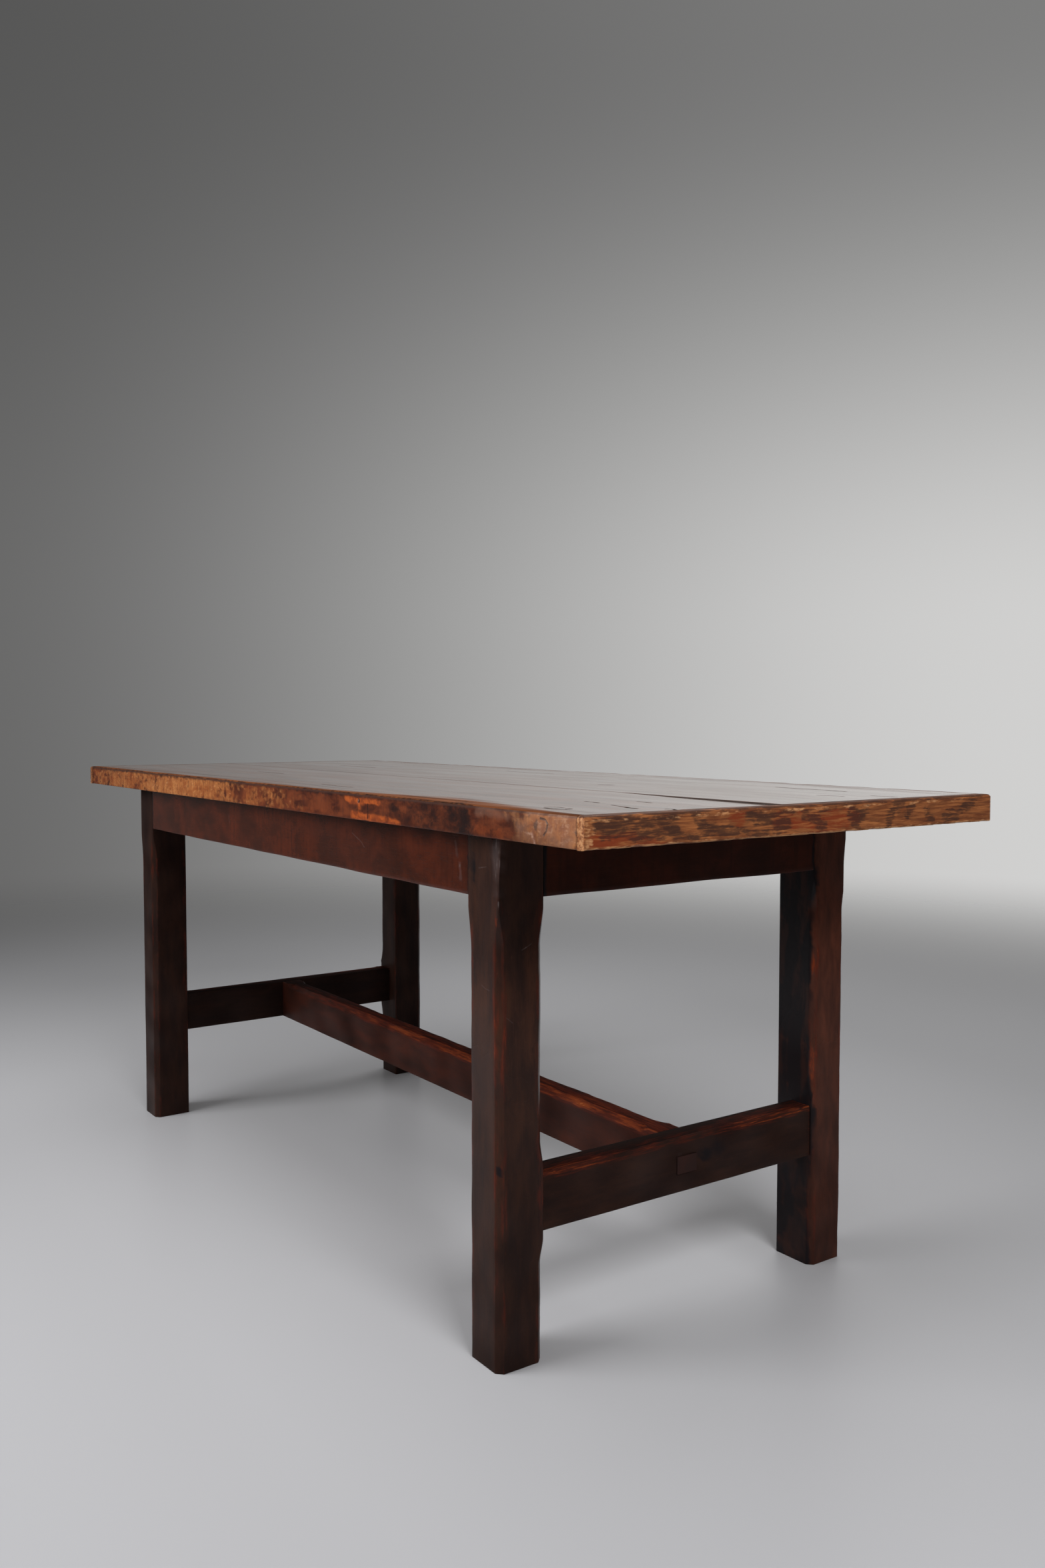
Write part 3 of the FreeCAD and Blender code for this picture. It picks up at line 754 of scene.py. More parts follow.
# Strokes on the front long edge: layer, half width, strength, points along and up
FRONT_EDGE_STROKES = [
    ("soot", 5, 0.6, [(-926, 758), (-300, 758), (300, 758), (700, 758)]),
    ("ember", 5.5, 1.0, [(354, 750), (413, 749), (456, 750)]),
    ("ember", 4, 0.9, [(396, 745), (398, 739)]),
    ("ember", 6.5, 1.0, [(375, 727), (449, 725), (516, 721)]),
    ("soot", 5, 0.45, [(359, 737), (439, 737), (490, 733)]),
    ("soot", 10, 0.6, [(497, 745), (514, 736)]),
    ("soot", 24, 0.85, [(660, 751), (679, 742), (687, 720)]),
    ("ember", 8, 0.36, [(704, 731), (736, 728), (772, 727)]),
    ("scuff", 5.5, 0.36, [(716, 752), (751, 753), (785, 751)]),
    ("soot", 3.5, 0.8, [(847, 749), (844, 743), (845, 739)]),
    ("scuff", 2.4, 0.9, [(839, 731), (842, 718)]),
    ("scuff", 2.0, 0.7, [(825, 732), (839, 733)]),
    ("soot", 2.5, 0.9, [(922, 740), (930, 736)]),
]
# Cracks and dents in the front long edge: points along and up, width, depth
FRONT_EDGE_CRACKS = [
    ([(423, 746), (424, 735), (423, 724)], 0.9, 0.6),
    ([(854, 752), (864, 751), (869, 746), (866, 738), (861, 733)], 1.5, 0.8),
]
# An old nail head in the front long edge
EDGE_BEAD = (395, 749)
EDGE_BEAD_RADIUS = 2.6
# Strokes on the right strip's face: layer, half width, strength, points across and up
RIGHT_STRIP_STROKES = [
    ("soot", 7.5, 1.0, [(-352, 749), (-302, 749), (-244, 750)]),
    ("soot", 6.0, 0.95, [(-347, 740), (-291, 739), (-237, 739)]),
    ("soot", 4.0, 0.85, [(-304, 732), (-249, 731), (-189, 728)]),
    ("ember", 5.0, 1.0, [(-364, 731), (-329, 732), (-302, 733)]),
    ("ember", 5.0, 0.8, [(-362, 725), (-307, 726), (-260, 725)]),
    ("soot", 5.0, 1.0, [(-206, 753), (-196, 742), (-184, 735), (-150, 732), (-118, 730)]),
    ("soot", 6.0, 1.0, [(-112, 748), (-76, 741), (-48, 736), (-70, 730)]),
    ("soot", 4.0, 0.9, [(-91, 744), (-64, 750), (-36, 753)]),
    ("ember", 8.0, 0.8, [(-137, 748), (-132, 740)]),
    ("soot", 3.5, 0.8, [(-106, 725), (-82, 726)]),
    ("ember", 10.0, 0.9, [(-64, 741), (0, 738), (76, 740)]),
    ("soot", 7.5, 1.0, [(-12, 746), (8, 741), (12, 734)]),
    ("soot", 3.0, 0.8, [(10, 748), (20, 752), (40, 755)]),
    ("soot", 8.0, 1.0, [(74, 746), (87, 742), (80, 732)]),
    ("soot", 5.0, 0.9, [(87, 744), (106, 752)]),
    ("soot", 6.5, 0.95, [(176, 754), (160, 745), (149, 733)]),
    ("soot", 5.0, 0.8, [(199, 753), (193, 744), (188, 735)]),
    ("soot", 5.5, 0.8, [(227, 742), (239, 732)]),
    ("soot", 6.0, 0.85, [(337, 755), (313, 742), (292, 732), (269, 731)]),
    ("wear", 6.0, 0.7, [(-372, 752), (-371, 738), (-372, 724)]),
    ("wear", 3.0, 0.6, [(-367, 749), (-362, 741)]),
]
# The left strip was cut from the same board, turned round
LEFT_STRIP_STROKES = [(layer, half, strength, [(18 - 0.94 * y, z) for y, z in points])
                      for layer, half, strength, points in RIGHT_STRIP_STROKES]
# How worn the strips' ends are
RIGHT_STRIP_END_WEAR = 0.55
LEFT_STRIP_END_WEAR = 0.1
# Cracks on the top: points along and across, width and depth
FRONT_PLANK_CRACKS = [
    ([(738, -217), (752, -215), (766, -217)], 1.8, 1.2),
    ([(778, -161), (792, -159), (806, -161)], 1.6, 1.1),
    ([(858, -246), (868, -246), (874, -245)], 3.0, 1.8),
    ([(812, -232), (836, -238), (862, -244)], 1.2, 0.9),
    ([(905, -222), (914, -219), (924, -224)], 1.8, 1.1),
    ([(-420, -180), (-360, -176), (-290, -183)], 1.3, 1.0),
    ([(120, -300), (190, -306), (240, -303)], 1.2, 1.0),
]
BACK_PLANK_CRACKS = [
    ([(404, 72), (412, 76), (424, 84)], 2.5, 1.4),
    ([(630, 255), (680, 250), (735, 255), (780, 246)], 2.0, 1.2),
    ([(820, 140), (838, 150), (856, 152)], 1.8, 1.2),
    ([(870, 196), (890, 200), (912, 198)], 1.8, 1.2),
    ([(-640, 120), (-560, 126), (-470, 121)], 1.5, 1.2),
    ([(-150, 260), (-60, 252), (20, 258)], 1.3, 1.1),
]
# A dark knot near the right end: place and half sizes, and the splits round it by their first
# and last angle, width and depth
KNOT_PLACE = (816, -322)
KNOT_SIZE = (24, 11)
KNOT_SPLITS = [(244, 402, 2.6, 1.8), (84, 200, 1.4, 1.1)]
KNOT_SPLIT_STEP = 12
# Half sizes of the dark round the knot, and how deep the zones of a long edge reach
KNOT_DARK = (1.2 * KNOT_SIZE[0], 1.2 * KNOT_SIZE[1], 6)
EDGE_ZONE_DEPTH = 14
# Where the wax is rubbed off along a long arris: how wide, how wide faintly, and where it is
# widest on the front one
RUBBED_WIDTH = 17 * MM
RUBBED_FAINT_WIDTH = 8 * RUBBED_WIDTH
RUBBED_WIDENING = 56 * MM
RUBBED_PLACE = 0.60
RUBBED_REACH = 0.33
# How far the front plank has sunk at the joint, and where along the table that is greatest
JOINT_SINK = 1.7 * MM
JOINT_SINK_PLACE = 0.92
JOINT_SINK_REACH = 0.32
JOINT_SINK_WIDTH = 110 * MM


def knot_cracks():
    """The splits round the knot, as cracks in the top."""
    cracks = []
    for first, last, width, depth in KNOT_SPLITS:
        points = []
        for angle in range(first, last, KNOT_SPLIT_STEP):
            along, across = math.cos(math.radians(angle)), math.sin(math.radians(angle))
            swell = 1 + 0.3 * rough((along, across, 0), 0.7, 4.0)
            x = KNOT_PLACE[0] + swell * KNOT_SIZE[0] * along
            y = KNOT_PLACE[1] + swell * KNOT_SIZE[1] * across
            points.append((x, y))
        cracks.append((points, width, depth))
    return cracks


def sink_at_joint(place, joint_y):
    """How far the front plank has sunk near the joint."""
    along = max(0.0, 1 - ((place.x - JOINT_SINK_PLACE) / JOINT_SINK_REACH) ** 2)
    across = max(0.0, 1 - abs(place.y - joint_y) / JOINT_SINK_WIDTH)
    return JOINT_SINK * along * across ** 1.5


def wax_gone(place, outer_y, widening):
    """How far the wax is rubbed off near a long arris, most where hands and sleeves rest."""
    width = RUBBED_WIDTH + widening * ease_in_out(1 - abs(place.x - RUBBED_PLACE) / RUBBED_REACH)
    inward = abs(place.y - outer_y)
    return max(ease_in_out(1.25 - inward / width), 0.3 * ease_in_out(1 - inward / RUBBED_FAINT_WIDTH))


def raise_bead(bm, y, outward):
    """A round nail head standing in a small hollow in a long edge, black, with a ring of painted shadow in
    the hollow round it and a painted highlight on its dome.
    """
    centre = Vector((EDGE_BEAD[0], y / MM, EDGE_BEAD[1])) * MM
    radius = EDGE_BEAD_RADIUS * MM
    for _ in range(2):
        refine(bm, [centre, centre + Vector((HAIR, 0, 0))], 3 * radius)
    soot, scuff = layers(bm, "soot", "scuff")
    for vert in verts_round(bm, [centre], [2 * radius] * 3):
        away = (vert.co - centre).length / radius
        if away < 2:
            dome = math.sqrt(max(0.0, 1 - away * away))
            hollow = ease_in_out(2 - away) * (1 - dome)
            vert.co.y += outward * radius * (0.45 * dome - 0.35 * hollow)
            # Black over the head and, as painted shadow, a little way into the hollow; pale on the dome as
            # a painted highlight
            vert[soot] = max(vert[soot], 1.0 if away < 1.25 else 0.0)
            vert[scuff] = max(vert[scuff], 0.55 * dome)


def plank(node, outward, zones, strokes, edge_cracks, cracks, materials):
    """One plank of the top, with its worn outer arris, wavy edge and cracked, rippled face."""
    lo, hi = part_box(node)
    outer_y, joint_y = (lo.y, hi.y) if outward < 0 else (hi.y, lo.y)
    widening = RUBBED_WIDENING if outward < 0 else 0.0
    bm = squared_board(lo, hi)
    round_over(bm, edges_along(bm, "x", y=outer_y, z=hi.z), TOP_ARRIS, 4)
    round_over(bm, edges_along(bm, "x", y=outer_y, z=lo.z), UNDER_ARRIS, 2)
    round_over(bm, edges_along(bm, "x", y=joint_y, z=hi.z), JOINT_ARRIS, 2)
    divide(bm, "y", TOP_STEP, z=hi.z)
    divide(bm, "z", EDGE_STEP, y=outer_y)
    divide(bm, "x", TOP_STEP)
    top_mm, edge_mm = hi.z / MM, outer_y / MM
    for points, width, depth in cracks:
        score(bm, [(x, y, top_mm) for x, y in points], width, depth)
    for points, width, depth in edge_cracks:
        score(bm, [(x, edge_mm, z) for x, z in points], width, depth, "soot")
    if outward < 0:
        raise_bead(bm, outer_y, outward)
        mark(bm, "soot", (*KNOT_PLACE, top_mm), KNOT_DARK, 0.7)
    for layer, x, z, half_x, half_z, strength in zones:
        mark(bm, layer, (x, edge_mm, z), (half_x, EDGE_ZONE_DEPTH, half_z), strength)
    for layer, half, strength, points in strokes:
        stroke(bm, layer, [(x, edge_mm, z) for x, z in points], half, strength)
    crack, grime = layers(bm, "crack", "grime")
    for vert in bm.verts:
        place = vert.co
        from_edge, from_top = abs(place.y - outer_y), abs(place.z - hi.z)
        if place.z > hi.z - WAX_DEPTH:
            vert[grime] = max(vert[grime], wax_gone(place, outer_y, widening))
        above = ease_in_out((place.z - lo.z) / (hi.z - lo.z))
        edge = ease_in_out(1 - from_edge / EDGE_WANDER_REACH)
        arris = ease_in_out(1 - (from_edge + from_top) / KNOCK_REACH)
        ripple = RIPPLE * (1 - rough((place.x * 0.5, place.y * 2.2, 0), RIPPLE_SIZE, 3.0))
        sink = sink_at_joint(place, joint_y) if outward < 0 else 0.0
        knock = KNOCK * arris * max(0.0, rough(place, KNOCK_SIZE, 7.0))
        place.z -= above * (ripple + sink + knock)
        wander = 0.6 * rough((place.x, 0, 0), EDGE_WANDER_SIZE, 5.0)
        wander += 0.4 * rough(place, EDGE_WANDER_FINE_SIZE, 6.0)
        place.y -= outward * edge * EDGE_WANDER * (1 - wander)
        if abs(place.y - joint_y) < JOINT_ARRIS and JOINT_LIP < hi.z - place.z < JOINT_SHADOW:
            vert[crack] = 0.9
        end = ease_in_out(1 - min(place.x - lo.x, hi.x - place.x) / END_SHADOW)
        vert[crack] = max(vert[crack], 0.8 * end)

    def choose(face):
        if face.normal.z > 0.6:
            return 0
        return 1 if abs(face.calc_center_median().y - outer_y) < EDGE_BAND else 2

    finish_piece(bm, node, materials, choose)


def end_strip(node, outward, end_wear, strokes, material):
    """The strip over one end of the planks, with chipped and rubbed arrises."""
    lo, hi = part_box(node)
    outer_x = hi.x if outward > 0 else lo.x
    bm = squared_board(lo, hi)
    rim = edges_along(bm, "y", x=outer_x, z=hi.z)
    rim += edges_along(bm, "x", y=lo.y, z=hi.z) + edges_along(bm, "x", y=hi.y, z=hi.z)
    round_over(bm, rim, TOP_ARRIS, 4)
    round_over(bm, edges_along(bm, "y", x=outer_x, z=lo.z), UNDER_ARRIS, 2)
    upright = [edge for y in (lo.y, hi.y) for edge in edges_along(bm, "z", x=outer_x, y=y)]
    round_over(bm, upright, STRIP_CORNER, 2)
    divide(bm, "x", EDGE_STEP)
    divide(bm, "z", EDGE_STEP)
    divide(bm, "y", STRIP_STEP)
    for layer, half, strength, points in strokes:
        stroke(bm, layer, [(outer_x / MM, y, z) for y, z in points], half, 0.8 * strength, 2.2)
    wear, soot = layers(bm, "wear", "soot")
    upper_z = hi.z - TOP_ARRIS - UPPER_WEAR_DROP
    for vert in bm.verts:
        place = vert.co
        face = ease_in_out(1 - abs(place.x - outer_x) / STRIP_FACE_REACH)
        end = ease_in_out(1 - min(abs(place.y - lo.y), abs(place.y - hi.y)) / STRIP_END_REACH)
        upper = ease_in_out(1 - abs(place.z - upper_z) / UPPER_WEAR_REACH) * face
        lower = ease_in_out(1 - abs(place.z - lo.z) / LOWER_WEAR_REACH) * face
        crown = ease_in_out((place.z - hi.z + CROWN_DROP) / CROWN_FADE)
        chip = max(0.0, rough((0, place.y, 0), CHIP_SIZE, 2.0) - 0.08)
        chip *= 0.4 + max(0.0, rough((0, place.y, 0), CHIP_GROUP_SIZE, 8.0))
        place.z += lower * (LEAST_CHIP + CHIP * chip)
        above = ease_in_out((place.z - lo.z) / (hi.z - lo.z))
        place.z -= above * STRIP_SAG * (1 - rough(place, STRIP_SAG_SIZE, 4.0))
        hollow = 1 - rough((0, place.y, place.z), STRIP_HOLLOW_SIZE, 5.0)
        place.x -= outward * face * STRIP_HOLLOW * hollow
        fleck = 0.55 + 0.7 * rough(place, STRIP_FLECK_SIZE, 11.0)
        vert[wear] = max(vert[wear] * (1 - end), fleck * upper, (fleck + 0.3) * lower, end_wear * end)
        vert[soot] = max(vert[soot] * (1 - end), 0.85 * crown, (0.6 - end_wear) * end)
    finish_piece(bm, node, [material])


def leg_reaches(lo, hi, worn_top, high_stop):
    """How far each of a leg's arrises is taken off at a height, by the arris's corner in plan."""
    apron_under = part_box("apron_front")[0].z
    stretcher_lo, stretcher_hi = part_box("end_stretcher_right")
    top_stop = apron_under - LEG_CHAMFER_BELOW_APRON
    break_low = stretcher_lo.z - LEG_CHAMFER_FROM_STRETCHER
    break_high = stretcher_hi.z + LEG_CHAMFER_FROM_STRETCHER
    outer_x, inner_x = (hi.x, lo.x) if lo.x > 0 else (lo.x, hi.x)
    outer_y, inner_y = (lo.y, hi.y) if lo.y < 0 else (hi.y, lo.y)
    least = SQUARE_EASE / CHAMFER
    start, along_x, along_y = worn_top
    high, high_share = high_stop

    def whole(z):
        return stop_share((top_stop - z) / LEG_CHAMFER_RUN)

    def broken(z):
        below = stop_share((break_low - z) / LEG_CHAMFER_LOW_RUN)
        above = stop_share((z - break_high) / LEG_CHAMFER_LOW_RUN)
        return whole(z) * max(below, above)

    def worn(x, y, shape, top):
        def reach(z):
            wander = 1 + 0.12 * rough((x, y, z), LEG_WANDER_SIZE, 3.0)
            wander += 0.06 * rough((x, y, z), LEG_WANDER_FINE_SIZE, 5.0)
            early = high_share * ease_in_out((high - z) / LEG_CHAMFER_RUN) if top else 0.0
            share = max(least, max(shape(z), early) * wander)
            facet = max(0.0, (z - start) / (hi.z - start)) if top else 0.0
            return max(share, along_x * facet), max(share, along_y * facet)
        return reach

    return {
        (outer_x, outer_y): worn(outer_x, outer_y, whole, True),
        (inner_x, outer_y): worn(inner_x, outer_y, whole, False),
        (outer_x, inner_y): worn(outer_x, inner_y, broken, False),
        (inner_x, inner_y): worn(inner_x, inner_y, lambda z: 0.0, False),
    }


def leg(node, marks, worn_top, high_stop, grime_and_shade, material):
    """One leg with its stopped chamfers, worn arrises and eased foot."""
    lo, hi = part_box(node)
    bm = squared_board(lo, hi)
    round_over(bm, edges_along(bm, "z"), CHAMFER, 1)
    divide(bm, "x", FACE_STEP)
    divide(bm, "y", FACE_STEP)
    slanted = [edge for edge in bm.edges if abs(edge.verts[0].co.z - edge.verts[1].co.z) < HAIR
               and min(abs(edge.verts[0].co[i] - edge.verts[1].co[i]) for i in (0, 1)) > HAIR]
    bmesh.ops.subdivide_edges(bm, edges=slanted, cuts=1, use_grid_fill=True)
    divide(bm, "z", LEG_STEP)
    reaches = leg_reaches(lo, hi, worn_top, high_stop)
    for (x, y), reach in reaches.items():
        stop_chamfer(bm, "z", (x, y, 0), CHAMFER, reach)
    ease_arrises(bm, "z")
    foot = [edge for edge in bm.edges if edge.is_manifold and edge.calc_face_angle() > math.radians(50)
            and all(vert.co.z < lo.z + HAIR for vert in edge.verts)]
    round_over(bm, foot, FOOT_EASE, 3)
    for (x, y), reach in reaches.items():
        wear_chamfer(bm, "z", (x, y, 0), CHAMFER, reach, LEG_WEAR_SPREAD, LEG_FLAT_WEAR)
    leave_marks(bm, node, marks)
    wear, grime = layers(bm, "wear", "grime")
    # Grime heavier towards the floor: dirt together with painted shade, since less light reaches the legs
    # low down
    for vert in bm.verts:
        low = ease_in_out(1 - vert.co.z / GRIME_AND_SHADE_HEIGHT)
        cloudy = 1 + 0.4 * rough(vert.co, LEG_GRIME_SIZE, 2.0)
        vert[grime] = max(0.0, (grime_and_shade + (GRIME_AND_SHADE_DEPTH - grime_and_shade) * low) * cloudy)
        patchy = max(0.0, 0.66 + 0.8 * rough(vert.co, LEG_WEAR_SIZE, 12.0))
        high = ease_in_out((vert.co.z - SHELTER_HEIGHT) / SHELTER_FADE)
        vert[wear] *= patchy * (1 - 0.5 * grime_and_shade) * (1 - 0.45 * low) * (1 - 0.7 * high)
    hand_planed(bm, LEG_PLANED_SIZE, lo.x + 3 * lo.y)
    finish_piece(bm, node, [material])


def trimmed_to_shoulders(node, axis):
    """A rail's box between the legs, without its tenons."""
    lo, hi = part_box(node)
    leg_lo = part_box("leg_back_right")[0]
    number = "xyz".index(axis)
    hi[number] = leg_lo[number]
    lo[number] = -leg_lo[number]
    return lo, hi


def apron(node, axis, grime_and_shade, marks, material):
    """An apron with eased, slightly wandering lower arrises."""
    lo, hi = trimmed_to_shoulders(node, axis)
    bm = squared_board(lo, hi)
    divide(bm, "z", FACE_STEP)
    divide(bm, axis, RAIL_STEP)
    ease_arrises(bm, axis)
    wear_square_arrises(bm, APRON_ARRIS_WEAR)
    leave_marks(bm, node, marks)
    number = "xyz".index(axis)
    soot, grime = layers(bm, "soot", "grime")
    for vert in bm.verts:
        vert[grime] = grime_and_shade
        from_end = min(vert.co[number] - lo[number], hi[number] - vert.co[number])
        vert[soot] = max(vert[soot], 0.9 * ease_in_out(1 - from_end / APRON_JOINT_SHADOW))
        low = ease_in_out(1 - (vert.co.z - lo.z) / APRON_LIFT_REACH)
        vert.co.z += low * APRON_LIFT * (1 + rough(vert.co, APRON_LIFT_SIZE, 3.0))
    hand_planed(bm, APRON_PLANED_SIZE, 1.0 + lo.x + lo.y)
    finish_piece(bm, node, [material])


def rail_reach(half_length, size, from_end):
    """How far a rail's chamfer reaches along it, with its stops near the ends."""
    least = SQUARE_EASE / size

    def reach(place):
        share = ease_in_out((half_length - from_end - abs(place)) / RAIL_CHAMFER_RUN)
        wander = 1 + 0.22 * rough((place, half_length, 0), RAIL_WANDER_SIZE, 2.0)
        wander += 0.12 * rough((place, 0, 0), RAIL_WANDER_FINE_SIZE, 5.0)
        share = max(least, share * wander)
        return share, share

    return reach


def tread_grime_and_shade(bm, top_z):
    """Dirt mixed with painted shade over a stretcher, fully dark on its upper face, where shoes rest."""
    grime = bm.verts.layers.float["grime"]
    for vert in bm.verts:
        vert[grime] = min(1.0, STRETCHER_GRIME_AND_SHADE * (1 + 0.5 * rough(vert.co, STRETCHER_GRIME_SIZE, 9.0)))
        if vert.co.z > top_z - HAIR:
            vert[grime] = 1.0


def tenon_faces(bm, low_z, fit):
    """Cuts a stretcher's faces along the sides of its tenon, and gives those across X within them."""
    half = TENON_WIDTH / 2 + fit
    low = low_z + TENON_RISE - fit
    high = low + TENON_HEIGHT + 2 * fit
    for axis, places in (("y", (-half, half)), ("z", (low, high))):
        for place in places:
            slice_at(bm, axis, place)
    found = []
    for face in bm.faces:
        centre = face.calc_center_median()
        if abs(face.normal.x) > 0.9 and abs(centre.y) < half and low < centre.z < high:
            found.append(face)
    return found


def end_stretcher(node, outward, marks, material):
    """An end stretcher with its through mortise and its foot-worn outer arris."""
    lo, hi = trimmed_to_shoulders(node, "y")
    outer_x = hi.x if outward > 0 else lo.x
    bm = squared_board(lo, hi)
    round_over(bm, edges_along(bm, "y", x=outer_x, z=hi.z), END_RAIL_CHAMFER, 1)
    bmesh.ops.delete(bm, geom=tenon_faces(bm, lo.z, TENON_FIT), context="FACES_ONLY")
    rim = [edge for edge in bm.edges if edge.is_boundary]
    bmesh.ops.bridge_loops(bm, edges=rim)
    bmesh.ops.recalc_face_normals(bm, faces=bm.faces)
    divide(bm, "z", FACE_STEP)
    divide(bm, "y", RAIL_STEP)
    corner = (outer_x, 0, hi.z)
    reach = rail_reach(hi.y, END_RAIL_CHAMFER, END_RAIL_CHAMFER_FROM_END)
    stop_chamfer(bm, "y", corner, END_RAIL_CHAMFER, reach)
    ease_arrises(bm, "y")
    wear_chamfer(bm, "y", corner, END_RAIL_CHAMFER, reach, END_RAIL_WEAR_SPREAD, END_RAIL_FLAT_WEAR)
    wear_square_arrises(bm, STRETCHER_ARRIS_WEAR)
    leave_marks(bm, node, marks)
    tread_grime_and_shade(bm, hi.z)
    wear = bm.verts.layers.float["wear"]
    for vert in bm.verts:
        trod = ease_in_out((abs(vert.co.y - UNTROD_MIDDLE) - UNTROD_HALF) / UNTROD_FADE)
        vert[wear] *= 0.5 + 0.5 * trod + 0.35 * rough(vert.co, RAIL_WEAR_SIZE, 4.0)
    hand_planed(bm, STRETCHER_PLANED_SIZE, 2.0 + outward)
    finish_piece(bm, node, [material])


def centre_stretcher(node, material):
    """The long stretcher, foot-worn along both upper arrises, with a through tenon at each end."""
    lo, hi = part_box(node)
    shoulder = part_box("end_stretcher_right")[0].x
    body_lo, body_hi = Vector((-shoulder, lo.y, lo.z)), Vector((shoulder, hi.y, hi.z))
    bm = squared_board(body_lo, body_hi)
    for y in (lo.y, hi.y):
        round_over(bm, edges_along(bm, "x", y=y, z=hi.z), CHAMFER, 1)
    left_end, right_end = sorted(tenon_faces(bm, lo.z, 0.0), key=lambda face: face.normal.x)
    for outward, end in ((-1, left_end), (1, right_end)):
        pulled = bmesh.ops.extrude_face_region(bm, geom=[end])["geom"]
        bmesh.ops.delete(bm, geom=[end], context="FACES")
        tip = [item for item in pulled if isinstance(item, bmesh.types.BMVert)]
        bmesh.ops.translate(bm, vec=(outward * (hi.x - shoulder), 0, 0), verts=tip)
    divide(bm, "z", FACE_STEP)
    divide(bm, "x", RAIL_STEP)
    reach = rail_reach(shoulder, CHAMFER, CENTRE_RAIL_CHAMFER_FROM_END)
    for y in (lo.y, hi.y):
        stop_chamfer(bm, "x", (0, y, hi.z), CHAMFER, reach)
    ease_arrises(bm, "x")
    for y in (lo.y, hi.y):
        wear_chamfer(bm, "x", (0, y, hi.z), CHAMFER, reach, CENTRE_RAIL_WEAR_SPREAD,
                     CENTRE_RAIL_FLAT_WEAR)
    tread_grime_and_shade(bm, hi.z)
    wear, grime, scuff = layers(bm, "wear", "grime", "scuff")
    for vert in bm.verts:
        trod = ease_in_out((vert.co.x - TROD_FROM) / TROD_FADE)
        vert[wear] *= (0.25 + 0.75 * trod) * (0.95 + 0.25 * rough(vert.co, RAIL_WEAR_SIZE, 4.0))
        if abs(vert.co.x) > shoulder + HAIR:
            vert[wear], vert[grime], vert[scuff] = TENON_LAYERS
    hand_planed(bm, STRETCHER_PLANED_SIZE, 5.0)
    finish_piece(bm, node, [material])


# Marks on the legs, an apron and a stretcher: layer, place, half sizes, strength
NEAR_LEG_MARKS = [
    # The first scuff paints the worn facet at the leg's top pale grey, a painted sheen of light on that
    # planed facet
    ("scuff", (700, -334, 690), (12, 12, 54), 0.52),
    ("ember", (703, -334, 604), (5, 5, 12), 0.25),
    ("soot", (644, -335, 672), (14, 6, 26), 0.9),
    ("soot", (702, -331, 274), (5, 5, 9), 1.0),
]
RIGHT_LEG_MARKS = [
    ("scuff", (704, 264, 500), (4, 4, 3), 0.7),
    ("scuff", (704, 264, 468), (4, 4, 4), 0.7),
    ("ember", (700, 264, 484), (6, 6, 34), 0.7),
    ("ember", (700, 264, 326), (6, 6, 44), 0.7),
    # The last mark darkens the whole of the leg's inner face, which faces in under the table
    ("soot", (668, 261, 380), (140, 6, 1200), 0.95),
]
FRONT_APRON_MARKS = [
    ("soot", (590, -334, 690), (60, 6, 40), 0.22),
]
RIGHT_STRETCHER_MARKS = [
    ("soot", (704, 55, 230), (8, 44, 26), 0.9),
    ("scuff", (704, -19, 219), (2.5, 1.6, 14), 0.4),
    ("scuff", (704, -8, 232), (2.5, 9, 1.6), 0.35),
]
# Thin scratches and scuffed streaks: points, half width, strength
SCRATCHES = {
    "leg_front_right": [
        ([(704.6, -333.6, 632), (704.2, -333.2, 614)], 0.9, 0.6),
        ([(660, -335, 672), (678, -335, 675)], 0.6, 0.32),
        ([(706, -297, 565), (706, -290, 568), (706, -282, 572)], 0.6, 0.5),
        ([(667, -335, 516), (675, -335, 513), (685, -335, 512)], 0.5, 0.34),
        ([(706, -322, 478), (706, -312, 470)], 0.5, 0.25),
    ],
    "apron_front": [
        ([(611, -334, 672), (613, -334, 654)], 3.6, 0.30),
        ([(600, -334, 702), (604, -334, 684)], 2.6, 0.18),
        ([(295, -334, 692), (326, -334, 680), (335, -334, 673)], 0.8, 0.34),
        ([(-206, -334, 690), (-201, -334, 674)], 0.8, 0.3),
    ],
}
# What the through tenon's end carries: wear, grime and scuff
TENON_LAYERS = (0.05, 0.9, 0.13)
# Stains, each with its deepest tone: brown on three legs and the end stretchers, a paler red on one
# leg, and red on the aprons and the centre stretcher
LEG_BROWN = ((66, 40, 29), (42, 27, 23))
LEG_RED = ((98, 53, 38), (66, 37, 28))
RAIL_RED = ((84, 36, 20), (54, 25, 16))
# What the stain is rubbed to: red on the legs and aprons, orange where feet rest on the stretchers
RUBBED_RED = (100, 42, 25)
RUBBED_ORANGE = (122, 57, 27)
# Where a leg's outer arris is worn at its top: from what height, and how far along X and Y at the
# very top, in chamfers
UNWORN = (0.7, 0.0, 0.0)
NEAR_LEG_FACET = (0.635, 1.75, 0.62)
# Where a leg's outer chamfer begins early: from what height, and its share of the full chamfer
NO_EARLY_CHAMFER = (0.0, 0.0)
RIGHT_LEG_EARLY_CHAMFER = (0.70, 0.6)
# Each leg's marks, worn top, early chamfer, darkening by dirt and painted shade, and stain
LEG_WORK = {
    "leg_front_right": (NEAR_LEG_MARKS, NEAR_LEG_FACET, NO_EARLY_CHAMFER, 0.0, LEG_BROWN),
    "leg_front_left": ([], UNWORN, NO_EARLY_CHAMFER, 0.75, LEG_BROWN),
    "leg_back_right": (RIGHT_LEG_MARKS, UNWORN, RIGHT_LEG_EARLY_CHAMFER, 0.0, LEG_RED),
    "leg_back_left": ([], UNWORN, NO_EARLY_CHAMFER, 0.4, LEG_BROWN),
}
